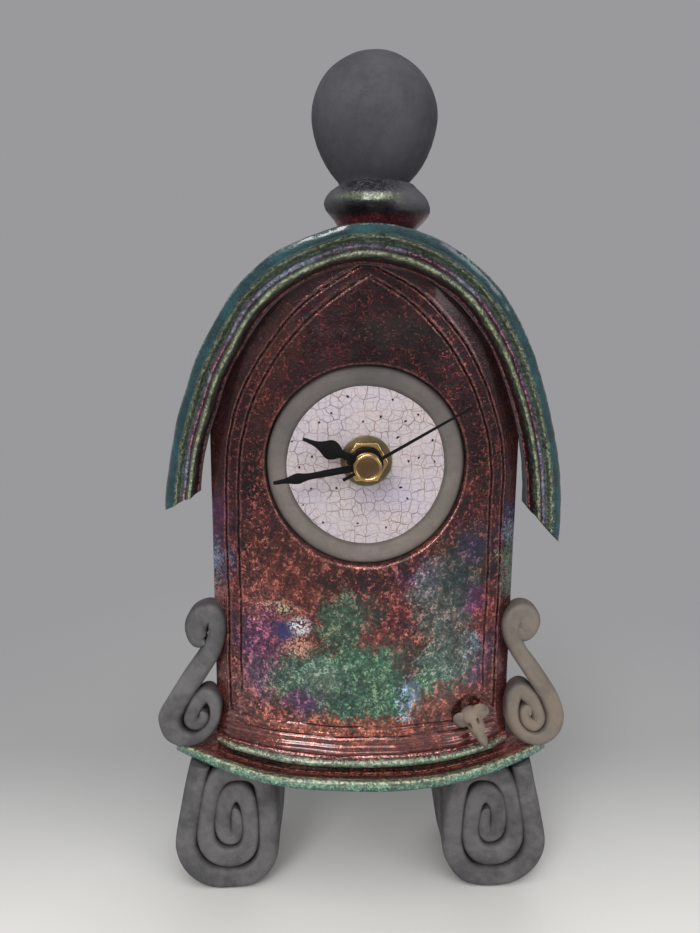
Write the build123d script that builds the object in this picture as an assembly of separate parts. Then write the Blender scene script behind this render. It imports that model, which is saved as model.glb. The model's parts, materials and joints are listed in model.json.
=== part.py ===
from build123d import *
import math
import os

# Raku-fired mantel clock: a bowed ceramic case on two rolled feet, with a quartz movement behind the dial.
# Sizes are millimetres and angles are degrees. X runs across the front, -Y faces the viewer, +Z is up.
# The clock stands on Z = 0, and Y = 0 is the middle of the base plate.

# Feet, each a slab rolled into a spiral
FOOT_HEIGHT = 50.0
FOOT_TOP_WIDTH = 28.5
FOOT_BOTTOM_WIDTH = 39.0
FOOT_CORNER = 11.0
FOOT_SHOULDER = 3.0
FOOT_END_INSET = 18.0
FOOT_SETBACK = 17.5
FOOT_BACK_INSET = 6.5
FOOT_SEAM = 1.2
FOOT_CORE = 1.6
FOOT_TURNS = 2.0
FOOT_SEAM_START = 125.0
FOOT_ROUNDNESS = 0.8
SEAM_STEPS_PER_TURN = 16

# Base plate, with a rim and a stepped moulding under the walls
BASE_END_PROJECTION = 14.7
BASE_BACK_PROJECTION = 7.0
BOW_RADIUS = 97.0
RIM_THICKNESS = 3.4
RIM_ROUNDING = 1.2
RIM_PROJECTION = 11.0
STEP_GROOVE_HEIGHT = 1.5
STEP_GROOVE_PROJECTION = 3.4
STEP_RIDGE_HEIGHT = 2.5
STEP_RIDGE_PROJECTION = 5.4
STEP_COVE_HEIGHT = 1.4
STEP_COVE_PROJECTION = 1.6

# Walls
BODY_WIDTH = 101.6
BODY_DEPTH = 48.0
WALL = 6.0
LINE_WIDTH = 0.9
LINE_DEPTH = 0.7
LINE_MARGIN = 5.3
LINE_GAP = 4.3
LINE_FOOT = 2.2
GOTHIC_RADIUS = 79.3
ACCESS_WIDTH = 66.0
ACCESS_HEIGHT = 84.0
ACCESS_CORNER = 18.0

# Roof, a slab bent over an arch with a moulded front
ROOF_RISE = 178.1
ROOF_TOP_RADIUS = 51.9
ROOF_SIDE_RADIUS = 126.1
ROOF_TURN = 53.5
ROOF_BACK_OVERHANG = 4.0
ROOF_RIM = 3.8
ROOF_RIM_PROJECTION = 11.0
ROOF_LEDGE = 1.2
ROOF_GROOVE = 3.4
ROOF_GROOVE_PROJECTION = 5.6
ROOF_RIDGE = 1.9
ROOF_RIDGE_PROJECTION = 7.6
ROOF_COVE = 3.0
ROOF_COVE_PROJECTION = 2.8
LEFT_TIP_DROP = 90.3
LEFT_TIP_CUT = 35.0
RIGHT_TIP_DROP = 101.1
RIGHT_TIP_CUT = 48.0

# Finial
FINIAL_OFFSET = 2.0
COLLAR_OFFSET = 1.2
COLLAR_FOOT_RADIUS = 12.2
COLLAR_RADIUS = 17.0
COLLAR_HEIGHT = 14.6
NECK_RADIUS = 11.6
NECK_TOP_RADIUS = 15.9
NECK_HEIGHT = 9.0
BALL_RADIUS = 19.4
BALL_RISE = 20.0

# Scroll brackets at the sides
SCROLL_DEPTH = 8.0
SCROLL_PROUD = 4.9
SCROLL_HEIGHT = 54.0
SCROLL_OVERHANG = 20.8
SCROLL_SEAM = 1.0
SEAM_STEPS_PER_POINT = 6

# Mouse that peeps out of a hole in the front
MOUSE_INSET = 15.1
MOUSE_RISE = 10.6
MOUSE_SKULL = 3.8
MOUSE_SINK = 2.6
MOUSE_CHEEK = 3.3
MOUSE_SNOUT = 12.0
MOUSE_NOSE = 0.8
MOUSE_LEAN = (0.5, -0.45, -0.9)
MOUSE_EAR_RADIUS = 3.0
MOUSE_EAR_THICKNESS = 1.5
MOUSE_EAR_SPREAD = 4.1
MOUSE_EAR_BACK = 1.5
MOUSE_EAR_TURN = 20.0
MOUSE_HOLE_RADIUS = 5.2

# Dial
DIAL_DROP = 72.6
RING_INNER_RADIUS = 25.0
RING_WIDTH = 7.4
RING_RECESS = 2.0
DISC_LAP = 2.0
DISC_RECESS = 3.5
SEAT_CLEARANCE = 0.15

# Shaft fittings, from the second arbor outwards
SHAFT_RISE = 1.8
SECOND_ARBOR_RADIUS = 0.52
MINUTE_TUBE_WALL = 0.97
HOUR_TUBE_WALL = 0.87
BUSHING_WALL = 1.4
BUSHING_STICKOUT = 0.7
BUSHING_CLEARANCE = 0.2
SHAFT_CLEARANCE = 0.08
TUBE_STICKOUT = 0.2
WASHER_RADIUS = 8.1
WASHER_THICKNESS = 0.8
NUT_ACROSS_FLATS = 12.0
NUT_THICKNESS = 2.2
GASKET_RADIUS = 9.5
GASKET_THICKNESS = 1.0

# Hands, set to 9:43:10
HAND_THICKNESS = 0.5
HAND_BOSS = 1.4
HAND_GAP = 0.8
HAND_FIT = 0.02
HOUR_HUB_RADIUS = 5.1
MINUTE_HUB_RADIUS = 4.0
SECOND_HUB_RADIUS = 2.2
HOUR_ANGLE = 291.6
MINUTE_ANGLE = 259.0
SECOND_ANGLE = 60.0
HOUR_LENGTH = 21.2
MINUTE_LENGTH = 29.3
SECOND_LENGTH = 36.4
SECOND_TAIL = 8.6
SECOND_WIDTH = 1.1
CAP_RADIUS = 4.4
CAP_HEIGHT = 2.2
CAP_DISH = 0.6
CAP_LIP = 0.7

# Quartz movement
CASE_WALL = 1.4
COVER_THICKNESS = 1.2
PARTITION_WALL = 1.0
WHEEL_MARGIN = 1.0
COIL_MARGIN = 0.6
POST_RADIUS = 1.5
CELL_RADIUS = 7.1
CELL_LENGTH = 49.0
CELL_NUB_RADIUS = 2.7
CELL_NUB_LENGTH = 1.4
CELL_CLEARANCE = 0.3
CONTACT_THICKNESS = 0.4
CONTACT_WIDTH = 9.0
CONTACT_HEIGHT = 10.0
CONTACT_BUMP = 0.98
CONTACT_BUMP_RADIUS = 2.0

# Wheel train, in levels from the front of the movement to the back
LEVEL_PITCH = 1.7
LEVEL_PLAY = 0.3
WHEEL_THICKNESS = 1.0
PINION_OVERLAP = 0.2
PLATE_THICKNESS = 1.0
ARBOR_RADIUS = 0.4
MINUTE_ARBOR_RADIUS = 0.8
PIVOT_DEPTH = 0.7
PIVOT_SLACK = 0.2
ARBOR_ROOM = 0.3
MOTION_DISTANCE = 12.0
MOTION_DIRECTION = 20.0
THIRD_DISTANCE = 10.8
THIRD_DIRECTION = 135.0
FIFTH_DISTANCE = 9.6
FIFTH_DIRECTION = 70.0
ROTOR_DISTANCE = 7.84
ROTOR_DIRECTION = 90.0
CANNON_TEETH = 12
MINUTE_TEETH = 36
MINUTE_PINION_TEETH = 10
HOUR_TEETH = 40
CENTRE_TEETH = 64
THIRD_PINION_TEETH = 8
THIRD_TEETH = 60
SECOND_PINION_TEETH = 8
SECOND_TEETH = 50
FIFTH_PINION_TEETH = 10
FIFTH_TEETH = 48
ROTOR_PINION_TEETH = 8
ADDENDUM = 0.8
DEDENDUM = 1.1
TOOTH_ROOT_SHARE = 0.26
TOOTH_TIP_SHARE = 0.09

# Motor, board and knob
MAGNET_RADIUS = 3.0
MAGNET_THICKNESS = 2.6
STATOR_THICKNESS = 0.8
STATOR_BORE_GAP = 0.6
STATOR_WIDTH = 26.0
STATOR_HEIGHT = 7.0
STATOR_LEG = 4.0
CORE_HEIGHT = 2.4
COIL_RISE = 6.4
BOBBIN_WALL = 0.5
BOBBIN_FLANGE_RADIUS = 2.7
BOBBIN_FLANGE = 0.8
WINDING_RADIUS = 2.5
BOARD_WIDTH = 7.0
BOARD_HEIGHT = 27.0
BOARD_THICKNESS = 0.8
BOARD_REST_RADIUS = 1.2
CRYSTAL_RADIUS = 0.8
CRYSTAL_LENGTH = 6.0
KNOB_RADIUS = 6.0
KNOB_HEIGHT = 4.0
KNOB_GAP = 0.4
KNOB_FLUTES = 18
KNOB_FLUTE_RADIUS = 0.6


def bow_drop(half_width, radius):
    """How far a bowed surface falls back at a distance from its crown."""
    return radius - math.sqrt(radius ** 2 - half_width ** 2)


def polar(start, distance, direction):
    """Point in the elevation at a distance and direction from another."""
    angle = math.radians(direction)
    return (start[0] + distance * math.cos(angle), start[1] + distance * math.sin(angle))


def tip_radius(teeth, distance, mate):
    """Outer radius of a toothed wheel that runs at a distance from its mate."""
    return 2 * distance / (teeth + mate) * (teeth / 2 + ADDENDUM)


# Places on the case that follow from the sizes
OUTSIDE = 400.0
BASE_WIDTH = BODY_WIDTH + 2 * BASE_END_PROJECTION
BASE_DEPTH = RIM_PROJECTION + BODY_DEPTH + BASE_BACK_PROJECTION
BASE_FRONT = -BASE_DEPTH / 2
BASE_BACK = BASE_DEPTH / 2
FOOT_FRONT = BASE_FRONT + FOOT_SETBACK
FOOT_BACK = BASE_BACK - FOOT_BACK_INSET
PLATE_TOP = FOOT_HEIGHT + RIM_THICKNESS
WALL_FOOT = PLATE_TOP + STEP_GROOVE_HEIGHT + STEP_RIDGE_HEIGHT + STEP_COVE_HEIGHT
PANEL_FRONT = BASE_FRONT + RIM_PROJECTION
PANEL_CORNER = PANEL_FRONT + bow_drop(BODY_WIDTH / 2, BOW_RADIUS)
BODY_BACK = PANEL_FRONT + BODY_DEPTH
ROOF_THICKNESS = ROOF_RIM + ROOF_LEDGE
ROOF_TOP = FOOT_HEIGHT + ROOF_RISE
ROOF_FRONT = PANEL_FRONT - ROOF_RIM_PROJECTION
ROOF_BACK = BODY_BACK + ROOF_BACK_OVERHANG
ROOF_MIDDLE = (ROOF_FRONT + ROOF_BACK) / 2
ROOF_HALF_WIDTH = ROOF_SIDE_RADIUS - (ROOF_SIDE_RADIUS - ROOF_TOP_RADIUS) * math.sin(math.radians(ROOF_TURN))
MOUSE_PLACE = (BODY_WIDTH / 2 - MOUSE_INSET, WALL_FOOT + MOUSE_RISE)

# Places on the dial and its shaft
DIAL_Z = ROOF_TOP - DIAL_DROP
DIAL_CENTRE = (0.0, DIAL_Z)
DIAL_OPENING_RADIUS = RING_INNER_RADIUS + RING_WIDTH
DISC_RADIUS = RING_INNER_RADIUS + DISC_LAP
SHAFT_Z = DIAL_Z + SHAFT_RISE
SHAFT = (0.0, SHAFT_Z)
MINUTE_TUBE_RADIUS = SECOND_ARBOR_RADIUS + SHAFT_CLEARANCE + MINUTE_TUBE_WALL
HOUR_TUBE_RADIUS = MINUTE_TUBE_RADIUS + SHAFT_CLEARANCE + HOUR_TUBE_WALL
BUSHING_RADIUS = HOUR_TUBE_RADIUS + SHAFT_CLEARANCE + BUSHING_WALL
DISC_FRONT = PANEL_FRONT + DISC_RECESS
WASHER_FRONT = DISC_FRONT - WASHER_THICKNESS
NUT_FRONT = WASHER_FRONT - NUT_THICKNESS
BUSHING_FRONT = NUT_FRONT - BUSHING_STICKOUT
HOUR_HAND_BACK = BUSHING_FRONT - HAND_GAP
HOUR_TUBE_FRONT = HOUR_HAND_BACK - HAND_BOSS - TUBE_STICKOUT
MINUTE_HAND_BACK = HOUR_TUBE_FRONT - HAND_GAP
MINUTE_TUBE_FRONT = MINUTE_HAND_BACK - HAND_BOSS - TUBE_STICKOUT
SECOND_HAND_BACK = MINUTE_TUBE_FRONT - HAND_GAP
CAP_BACK = SECOND_HAND_BACK - HAND_THICKNESS
CAP_FRONT = CAP_BACK - CAP_HEIGHT
SECOND_ARBOR_FRONT = CAP_FRONT + 2 * CAP_DISH

# Axes of the wheels in elevation
MOTION_AXIS = polar(SHAFT, MOTION_DISTANCE, MOTION_DIRECTION)
THIRD_AXIS = polar(SHAFT, THIRD_DISTANCE, THIRD_DIRECTION)
FIFTH_AXIS = polar(SHAFT, FIFTH_DISTANCE, FIFTH_DIRECTION)
ROTOR_AXIS = polar(FIFTH_AXIS, ROTOR_DISTANCE, ROTOR_DIRECTION)
SHAFT_WHEEL_RADIUS = max(
    tip_radius(HOUR_TEETH, MOTION_DISTANCE, MINUTE_PINION_TEETH),
    tip_radius(CENTRE_TEETH, THIRD_DISTANCE, THIRD_PINION_TEETH),
    tip_radius(SECOND_TEETH, FIFTH_DISTANCE, FIFTH_PINION_TEETH),
)

# Places across and up the movement, which is as wide as its cell needs
CELL_HALF = (CELL_LENGTH + CELL_NUB_LENGTH) / 2
CASE_HALF = CELL_HALF + HAND_FIT + CONTACT_BUMP + CONTACT_THICKNESS
MOVEMENT_HALF = CASE_HALF + CASE_WALL
PARTITION_TOP = SHAFT_Z - SHAFT_WHEEL_RADIUS - WHEEL_MARGIN
BAY_TOP = PARTITION_TOP - PARTITION_WALL
BAY_LOW = BAY_TOP - 2 * (CELL_RADIUS + CELL_CLEARANCE)
CELL_Z = (BAY_TOP + BAY_LOW) / 2
CORE_Z = ROTOR_AXIS[1] + COIL_RISE
ROOM_TOP = CORE_Z + BOBBIN_FLANGE_RADIUS + COIL_MARGIN
POST_X = CASE_HALF - 3 * POST_RADIUS
POST_LOW = PARTITION_TOP + 2 * POST_RADIUS
POST_HIGH = ROTOR_AXIS[1]
STATOR_LEFT = ROTOR_AXIS[0] + STATOR_HEIGHT - STATOR_WIDTH
STATOR_RIGHT = ROTOR_AXIS[0] + STATOR_HEIGHT
LEG_LEFT = STATOR_LEFT + STATOR_LEG / 2
LEG_RIGHT = STATOR_RIGHT - STATOR_LEG / 2
COIL_LEFT = LEG_LEFT + STATOR_LEG / 2 + CELL_CLEARANCE
COIL_RIGHT = LEG_RIGHT - STATOR_LEG / 2 - CELL_CLEARANCE
SPOOL_RADIUS = CORE_HEIGHT / 2 + BOBBIN_WALL
BOARD_LEFT = -CASE_HALF + CELL_CLEARANCE
BOARD_RIGHT = BOARD_LEFT + BOARD_WIDTH
BOARD_MIDDLE = (BOARD_LEFT + BOARD_RIGHT) / 2
BOARD_LOW = PARTITION_TOP + CELL_CLEARANCE
BOARD_HIGH = BOARD_LOW + BOARD_HEIGHT

# Places through the depth of the movement
DIAL_BACK = PANEL_FRONT + WALL + bow_drop(MOVEMENT_HALF, BOW_RADIUS - WALL)
CASE_FRONT = DIAL_BACK + GASKET_THICKNESS
CASE_INNER = CASE_FRONT + CASE_WALL
CELL_Y = CASE_INNER + CELL_CLEARANCE + CELL_RADIUS


def level(number):
    """Front face of a wheel level, counted from the front wall of the movement."""
    return CASE_INNER + LEVEL_PLAY + number * LEVEL_PITCH


HOUR_LEVEL = level(0)
MOTION_LEVEL = level(1)
CENTRE_LEVEL = level(2)
PLATE_LEVEL = level(3)
THIRD_LEVEL = level(4)
SECOND_LEVEL = level(5)
FIFTH_LEVEL = level(6)
PLATE_BACK = PLATE_LEVEL + PLATE_THICKNESS
STATOR_FRONT = THIRD_LEVEL + WHEEL_THICKNESS + LEVEL_PLAY
STATOR_BACK = STATOR_FRONT + STATOR_THICKNESS
COIL_Y = (STATOR_FRONT + STATOR_BACK) / 2
BOARD_BACK = FIFTH_LEVEL + BOARD_THICKNESS
PINION_BACK = FIFTH_LEVEL + WHEEL_THICKNESS + PINION_OVERLAP
CRYSTAL_BACK = BOARD_BACK + HAND_FIT + 2 * CRYSTAL_RADIUS
CELL_BACK = CELL_Y + CELL_RADIUS + CELL_CLEARANCE
COVER_INNER = max(CELL_BACK - COVER_THICKNESS, PINION_BACK + LEVEL_PLAY, CRYSTAL_BACK + LEVEL_PLAY)
CASE_BACK = COVER_INNER + COVER_THICKNESS
FRONT_PIVOT = CASE_INNER - PIVOT_DEPTH + PIVOT_SLACK
PLATE_PIVOT = PLATE_BACK - PIVOT_DEPTH + PIVOT_SLACK
COVER_PIVOT = COVER_INNER + PIVOT_DEPTH - PIVOT_SLACK
KNOB_FRONT = CASE_BACK + KNOB_GAP
KNOB_BACK = KNOB_FRONT + KNOB_HEIGHT
KNOB_MIDDLE = KNOB_FRONT + KNOB_HEIGHT / 2


# Drawing helpers
def at(point, face):
    """Face drawn about the origin, moved to a point of the elevation."""
    return Pos(point[0], point[1], 0) * face


def slab(face, front, back):
    """Elevation face given its depth from front to back."""
    plane = Plane(origin=(0, back, 0), x_dir=(1, 0, 0), z_dir=(0, -1, 0))
    return extrude(plane * face, back - front)


def rod(point, radius, front, back):
    """Round bar along the depth."""
    return slab(at(point, Circle(radius)), front, back)


def ring(point, radius, bore, front, back):
    """Round bar along the depth with a hole through it."""
    return slab(at(point, Circle(radius) - Circle(bore)), front, back)


def block(left, right, low, high, front, back):
    """Box between three pairs of faces."""
    face = Pos((left + right) / 2, (low + high) / 2, 0) * Rectangle(right - left, high - low)
    return slab(face, front, back)


def bowed(crown, radius):
    """All that lies behind an upright bowed surface, whose crown is where the full bow radius puts it."""
    cylinder = Cylinder(radius, OUTSIDE, align=(Align.CENTER, Align.CENTER, Align.MIN))
    return Pos(0, crown + BOW_RADIUS, 0) * cylinder


def arch(inset):
    """Roof outline in elevation, drawn in by an inset, with upright sides down to the floor."""
    turn = math.radians(ROOF_TURN)
    centre_z = ROOF_TOP - ROOF_TOP_RADIUS
    spread = ROOF_SIDE_RADIUS - ROOF_TOP_RADIUS
    side_x = -spread * math.sin(turn)
    side_z = centre_z - spread * math.cos(turn)
    top = ROOF_TOP_RADIUS - inset
    side = ROOF_SIDE_RADIUS - inset
    join = (top * math.sin(turn), centre_z + top * math.cos(turn))
    half = (math.pi / 2 - turn) / 2
    middle = (side_x + side * math.cos(half), side_z + side * math.sin(half))
    spring = (side_x + side, side_z)
    outline = [
        ThreePointArc((-join[0], join[1]), (0, centre_z + top), join),
        ThreePointArc(join, middle, spring),
        Line(spring, (spring[0], 0)),
        Line((spring[0], 0), (-spring[0], 0)),
        Line((-spring[0], 0), (-spring[0], spring[1])),
        ThreePointArc((-spring[0], spring[1]), (-middle[0], middle[1]), (-join[0], join[1])),
    ]
    return make_face(outline)


def wall_outline():
    """Elevation of the front and back walls: straight sides under the arch of the roof."""
    sides = Pos(0, WALL_FOOT + OUTSIDE / 2, 0) * Rectangle(BODY_WIDTH, OUTSIDE)
    return arch(ROOF_THICKNESS) & sides


def gothic(inset):
    """Pointed border outline on the front, drawn in by an inset."""
    half_width = BODY_WIDTH / 2 - LINE_MARGIN - inset
    radius = GOTHIC_RADIUS - inset
    reach = GOTHIC_RADIUS + LINE_MARGIN - BODY_WIDTH / 2
    peak = ROOF_TOP - ROOF_THICKNESS - LINE_MARGIN
    spring = peak - math.sqrt(GOTHIC_RADIUS ** 2 - reach ** 2)
    apex = (0, spring + math.sqrt(radius ** 2 - reach ** 2))
    foot = WALL_FOOT + LINE_FOOT + inset
    half = math.atan2(apex[1] - spring, reach) / 2
    middle = (radius * math.cos(half) - reach, spring + radius * math.sin(half))
    outline = [
        Line((-half_width, foot), (half_width, foot)),
        Line((half_width, foot), (half_width, spring)),
        ThreePointArc((half_width, spring), middle, apex),
        ThreePointArc(apex, (-middle[0], middle[1]), (-half_width, spring)),
        Line((-half_width, spring), (-half_width, foot)),
    ]
    return make_face(outline)


def signed_power(value, power):
    """Power of a value that keeps its sign."""
    return math.copysign(abs(value) ** power, value)


def rolled_seam(width, height, taper):
    """Thin spiral slot between the turns of a rolled slab, winding inwards from the top."""
    strip = (width / 2 - FOOT_CORE) / (FOOT_TURNS + 1)
    steps = round(FOOT_TURNS * SEAM_STEPS_PER_TURN)
    edges = []
    for side in (-1, 1):
        points = []
        for step in range(steps + 1):
            turn = FOOT_TURNS * step / steps
            angle = math.radians(FOOT_SEAM_START + 360 * turn)
            inset = strip * (1 + turn) + side * FOOT_SEAM / 2
            z = (height / 2 - inset) * signed_power(math.sin(angle), FOOT_ROUNDNESS)
            x = (width / 2 - inset) * signed_power(math.cos(angle), FOOT_ROUNDNESS)
            points.append((x * (1 - taper * z / height), z))
        edges.append(points)
    return ribbon(*edges)


def ribbon(first, second):
    """Face between two curves that run side by side."""
    back = second[::-1]
    return make_face([Spline(*first), Line(first[-1], back[0]), Spline(*back), Line(back[-1], first[0])])


def slot(points, width):
    """Thin slot along a curve through a few points."""
    path = Spline(*points)
    edges = []
    steps = SEAM_STEPS_PER_POINT * len(points)
    for side in (-1, 1):
        offsets = []
        for step in range(steps + 1):
            place = path @ (step / steps)
            along = path % (step / steps)
            offsets.append((place.X - side * along.Y * width / 2, place.Y + side * along.X * width / 2))
        edges.append(offsets)
    return ribbon(*edges)


# Ceramic case
def base_plate():
    """Bowed plate with a rounded rim, and the stepped moulding that the walls stand on."""
    plate = block(-BASE_WIDTH / 2, BASE_WIDTH / 2, FOOT_HEIGHT, PLATE_TOP, BASE_FRONT, BASE_BACK)
    plate &= bowed(BASE_FRONT, BOW_RADIUS)
    plate = fillet(plate.edges().filter_by(GeomType.CIRCLE), RIM_ROUNDING)
    steps = (
        (STEP_GROOVE_HEIGHT, STEP_GROOVE_PROJECTION),
        (STEP_RIDGE_HEIGHT, STEP_RIDGE_PROJECTION),
        (STEP_COVE_HEIGHT, STEP_COVE_PROJECTION),
    )
    low = PLATE_TOP
    for height, projection in steps:
        crown = PANEL_FRONT - projection
        step = block(-BODY_WIDTH / 2, BODY_WIDTH / 2, low, low + height, crown, BODY_BACK)
        plate += step & bowed(crown, BOW_RADIUS)
        low += height
    return plate


def front_panel():
    """Bowed front wall with the dial opening, the mouse hole and a double incised border."""
    panel = slab(wall_outline(), PANEL_FRONT, BODY_BACK) & bowed(PANEL_FRONT, BOW_RADIUS)
    panel -= bowed(PANEL_FRONT, BOW_RADIUS - WALL)
    panel -= rod(DIAL_CENTRE, DIAL_OPENING_RADIUS, PANEL_FRONT, BODY_BACK)
    panel -= rod(MOUSE_PLACE, MOUSE_HOLE_RADIUS, PANEL_FRONT, BODY_BACK)
    for inset in (0, LINE_GAP):
        line = slab(gothic(inset) - gothic(inset + LINE_WIDTH), PANEL_FRONT, BODY_BACK)
        panel -= line - bowed(PANEL_FRONT, BOW_RADIUS - LINE_DEPTH)
    return panel


def side_panel(side):
    """Flat side wall between the bowed front and the back."""
    wall = block(BODY_WIDTH / 2 - WALL, BODY_WIDTH / 2, WALL_FOOT, ROOF_TOP, PANEL_FRONT, BODY_BACK - WALL)
    wall &= bowed(PANEL_FRONT, BOW_RADIUS - WALL)
    wall &= slab(arch(ROOF_THICKNESS), PANEL_FRONT, BODY_BACK)
    return wall if side > 0 else mirror(wall, Plane.YZ)


def back_panel():
    """Flat back wall with an opening to reach the movement."""
    opening = at(SHAFT, RectangleRounded(ACCESS_WIDTH, ACCESS_HEIGHT, ACCESS_CORNER))
    return slab(wall_outline() - opening, BODY_BACK - WALL, BODY_BACK)


def tip_cut(side, drop, slope):
    """Wedge that trims one end of the roof on a slant."""
    edge = ROOF_HALF_WIDTH
    low = ROOF_TOP - drop
    fall = math.tan(math.radians(slope))
    outer = edge + 2 * ROOF_THICKNESS
    inner = BODY_WIDTH / 2 - WALL
    points = [
        (side * outer, low - (outer - edge) * fall),
        (side * inner, low + (edge - inner) * fall),
        (side * inner, 0),
        (side * outer, 0),
    ]
    wedge = make_face(Polyline(*points, close=True))
    return slab(wedge, ROOF_FRONT, ROOF_BACK)


def roof():
    """Bent slab over the walls, with a rim, groove, ridge and cove round its front edge."""
    slab_profile = (
        (0, ROOF_RIM, ROOF_RIM_PROJECTION),
        (ROOF_RIM, ROOF_THICKNESS, ROOF_GROOVE_PROJECTION),
    )
    groove_end = ROOF_RIM + ROOF_GROOVE
    ridge_end = groove_end + ROOF_RIDGE
    front_profile = (
        (ROOF_THICKNESS, groove_end, ROOF_GROOVE_PROJECTION),
        (groove_end, ridge_end, ROOF_RIDGE_PROJECTION),
        (ridge_end, ridge_end + ROOF_COVE, ROOF_COVE_PROJECTION),
    )
    bands = []
    for start, end, projection in slab_profile:
        band = slab(arch(start) - arch(end), ROOF_FRONT, ROOF_BACK)
        bands.append(band & bowed(PANEL_FRONT - projection, BOW_RADIUS))
    for start, end, projection in front_profile:
        band = slab(arch(start) - arch(end), ROOF_FRONT, ROOF_BACK)
        band &= bowed(PANEL_FRONT - projection, BOW_RADIUS)
        bands.append(band - bowed(PANEL_FRONT, BOW_RADIUS))
    shape = bands[0]
    for band in bands[1:]:
        shape += band
    shape -= tip_cut(-1, LEFT_TIP_DROP, LEFT_TIP_CUT)
    return shape - tip_cut(1, RIGHT_TIP_DROP, RIGHT_TIP_CUT)


def turned(profile, x, z):
    """Profile turned about an upright axis over the middle of the roof."""
    return Pos(x, ROOF_MIDDLE, z) * revolve(Plane.XZ * make_face(profile), Axis.Z)


def finial_collar():
    """Round collar that is seated on the curve of the roof."""
    sunk = bow_drop(COLLAR_FOOT_RADIUS + FINIAL_OFFSET + COLLAR_OFFSET, ROOF_TOP_RADIUS)
    bulge = COLLAR_HEIGHT / 2
    profile = [
        Line((0, -sunk), (COLLAR_FOOT_RADIUS, -sunk)),
        Line((COLLAR_FOOT_RADIUS, -sunk), (COLLAR_FOOT_RADIUS, 0)),
        Spline((COLLAR_FOOT_RADIUS, 0), (COLLAR_RADIUS, bulge), (NECK_RADIUS, COLLAR_HEIGHT)),
        Line((NECK_RADIUS, COLLAR_HEIGHT), (0, COLLAR_HEIGHT)),
        Line((0, COLLAR_HEIGHT), (0, -sunk)),
    ]
    collar = turned(profile, FINIAL_OFFSET + COLLAR_OFFSET, ROOF_TOP)
    return collar - slab(arch(0), PANEL_FRONT, ROOF_BACK)


def finial_ball():
    """Ball that narrows in a cone to its seat on the collar."""
    upright = (Align.CENTER, Align.CENTER, Align.MIN)
    neck = Pos(0, 0, COLLAR_HEIGHT) * Cone(NECK_RADIUS, NECK_TOP_RADIUS, NECK_HEIGHT, align=upright)
    ball = Pos(0, 0, COLLAR_HEIGHT + BALL_RISE) * Sphere(BALL_RADIUS)
    return Pos(FINIAL_OFFSET, ROOF_MIDDLE, ROOF_TOP) * (neck + ball)


def foot(side):
    """Slab rolled into a spiral, wider at the floor than under the base plate."""
    low, high = FOOT_BOTTOM_WIDTH / 2, FOOT_TOP_WIDTH / 2
    corners = ((-low, 0), (low, 0), (high, FOOT_HEIGHT), (-high, FOOT_HEIGHT))
    outline = make_face(Polyline(*corners, close=True))
    outline = fillet(outline.vertices().group_by(Axis.Y)[0], FOOT_CORNER)
    outline = fillet(outline.vertices().group_by(Axis.Y)[-1], FOOT_SHOULDER)
    width = (FOOT_BOTTOM_WIDTH + FOOT_TOP_WIDTH) / 2
    taper = (FOOT_BOTTOM_WIDTH - FOOT_TOP_WIDTH) / width
    outline -= Pos(0, FOOT_HEIGHT / 2, 0) * rolled_seam(width, FOOT_HEIGHT, taper)
    shape = Pos(FOOT_END_INSET - BASE_WIDTH / 2, 0, 0) * slab(outline, FOOT_FRONT, FOOT_BACK)
    return shape if side < 0 else mirror(shape, Plane.YZ)


# Points of the left bracket: distance out from the wall as a share of the overhang, and height as a share
SCROLL_EDGE = (
    (0.0, 0.30), (0.0, 0.16), (0.18, 0.03), (0.42, 0.0), (0.70, 0.0), (0.94, 0.09), (1.0, 0.19),
    (0.96, 0.28), (0.76, 0.43), (0.54, 0.55), (0.42, 0.66), (0.50, 0.77), (0.46, 0.89), (0.28, 0.99),
    (0.06, 0.97), (-0.09, 0.87), (-0.10, 0.72), (0.0, 0.62), (0.15, 0.52), (0.18, 0.47), (0.11, 0.42),
    (0.02, 0.36),
)
SCROLL_COIL_SEAM = (
    (0.20, 0.46), (0.41, 0.35), (0.57, 0.22), (0.57, 0.14), (0.46, 0.09), (0.28, 0.10), (0.13, 0.17),
    (0.07, 0.25), (0.16, 0.32), (0.26, 0.27), (0.31, 0.21),
)
SCROLL_CURL_SEAM = ((0.38, 0.675), (0.18, 0.655), (0.09, 0.72), (0.11, 0.81))


def scroll_points(shares):
    """Points of the left bracket in elevation."""
    wall = -BODY_WIDTH / 2
    return [(wall - out * SCROLL_OVERHANG, PLATE_TOP + rise * SCROLL_HEIGHT) for out, rise in shares]


def scroll(side, panel, wall):
    """S-shaped bracket: a large coil on the base plate, an arm and a small curl on the corner."""
    outline = make_face(Spline(*scroll_points(SCROLL_EDGE), periodic=True))
    for seam in (SCROLL_COIL_SEAM, SCROLL_CURL_SEAM):
        outline -= slot(scroll_points(seam), SCROLL_SEAM)
    outline &= Pos(0, PLATE_TOP + OUTSIDE / 2, 0) * Rectangle(OUTSIDE, OUTSIDE)
    front = PANEL_CORNER - SCROLL_PROUD
    shape = slab(outline, front, front + SCROLL_DEPTH)
    if side > 0:
        shape = mirror(shape, Plane.YZ)
    return (shape - panel - wall).solids().sort_by(SortBy.VOLUME)[-1]


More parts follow.
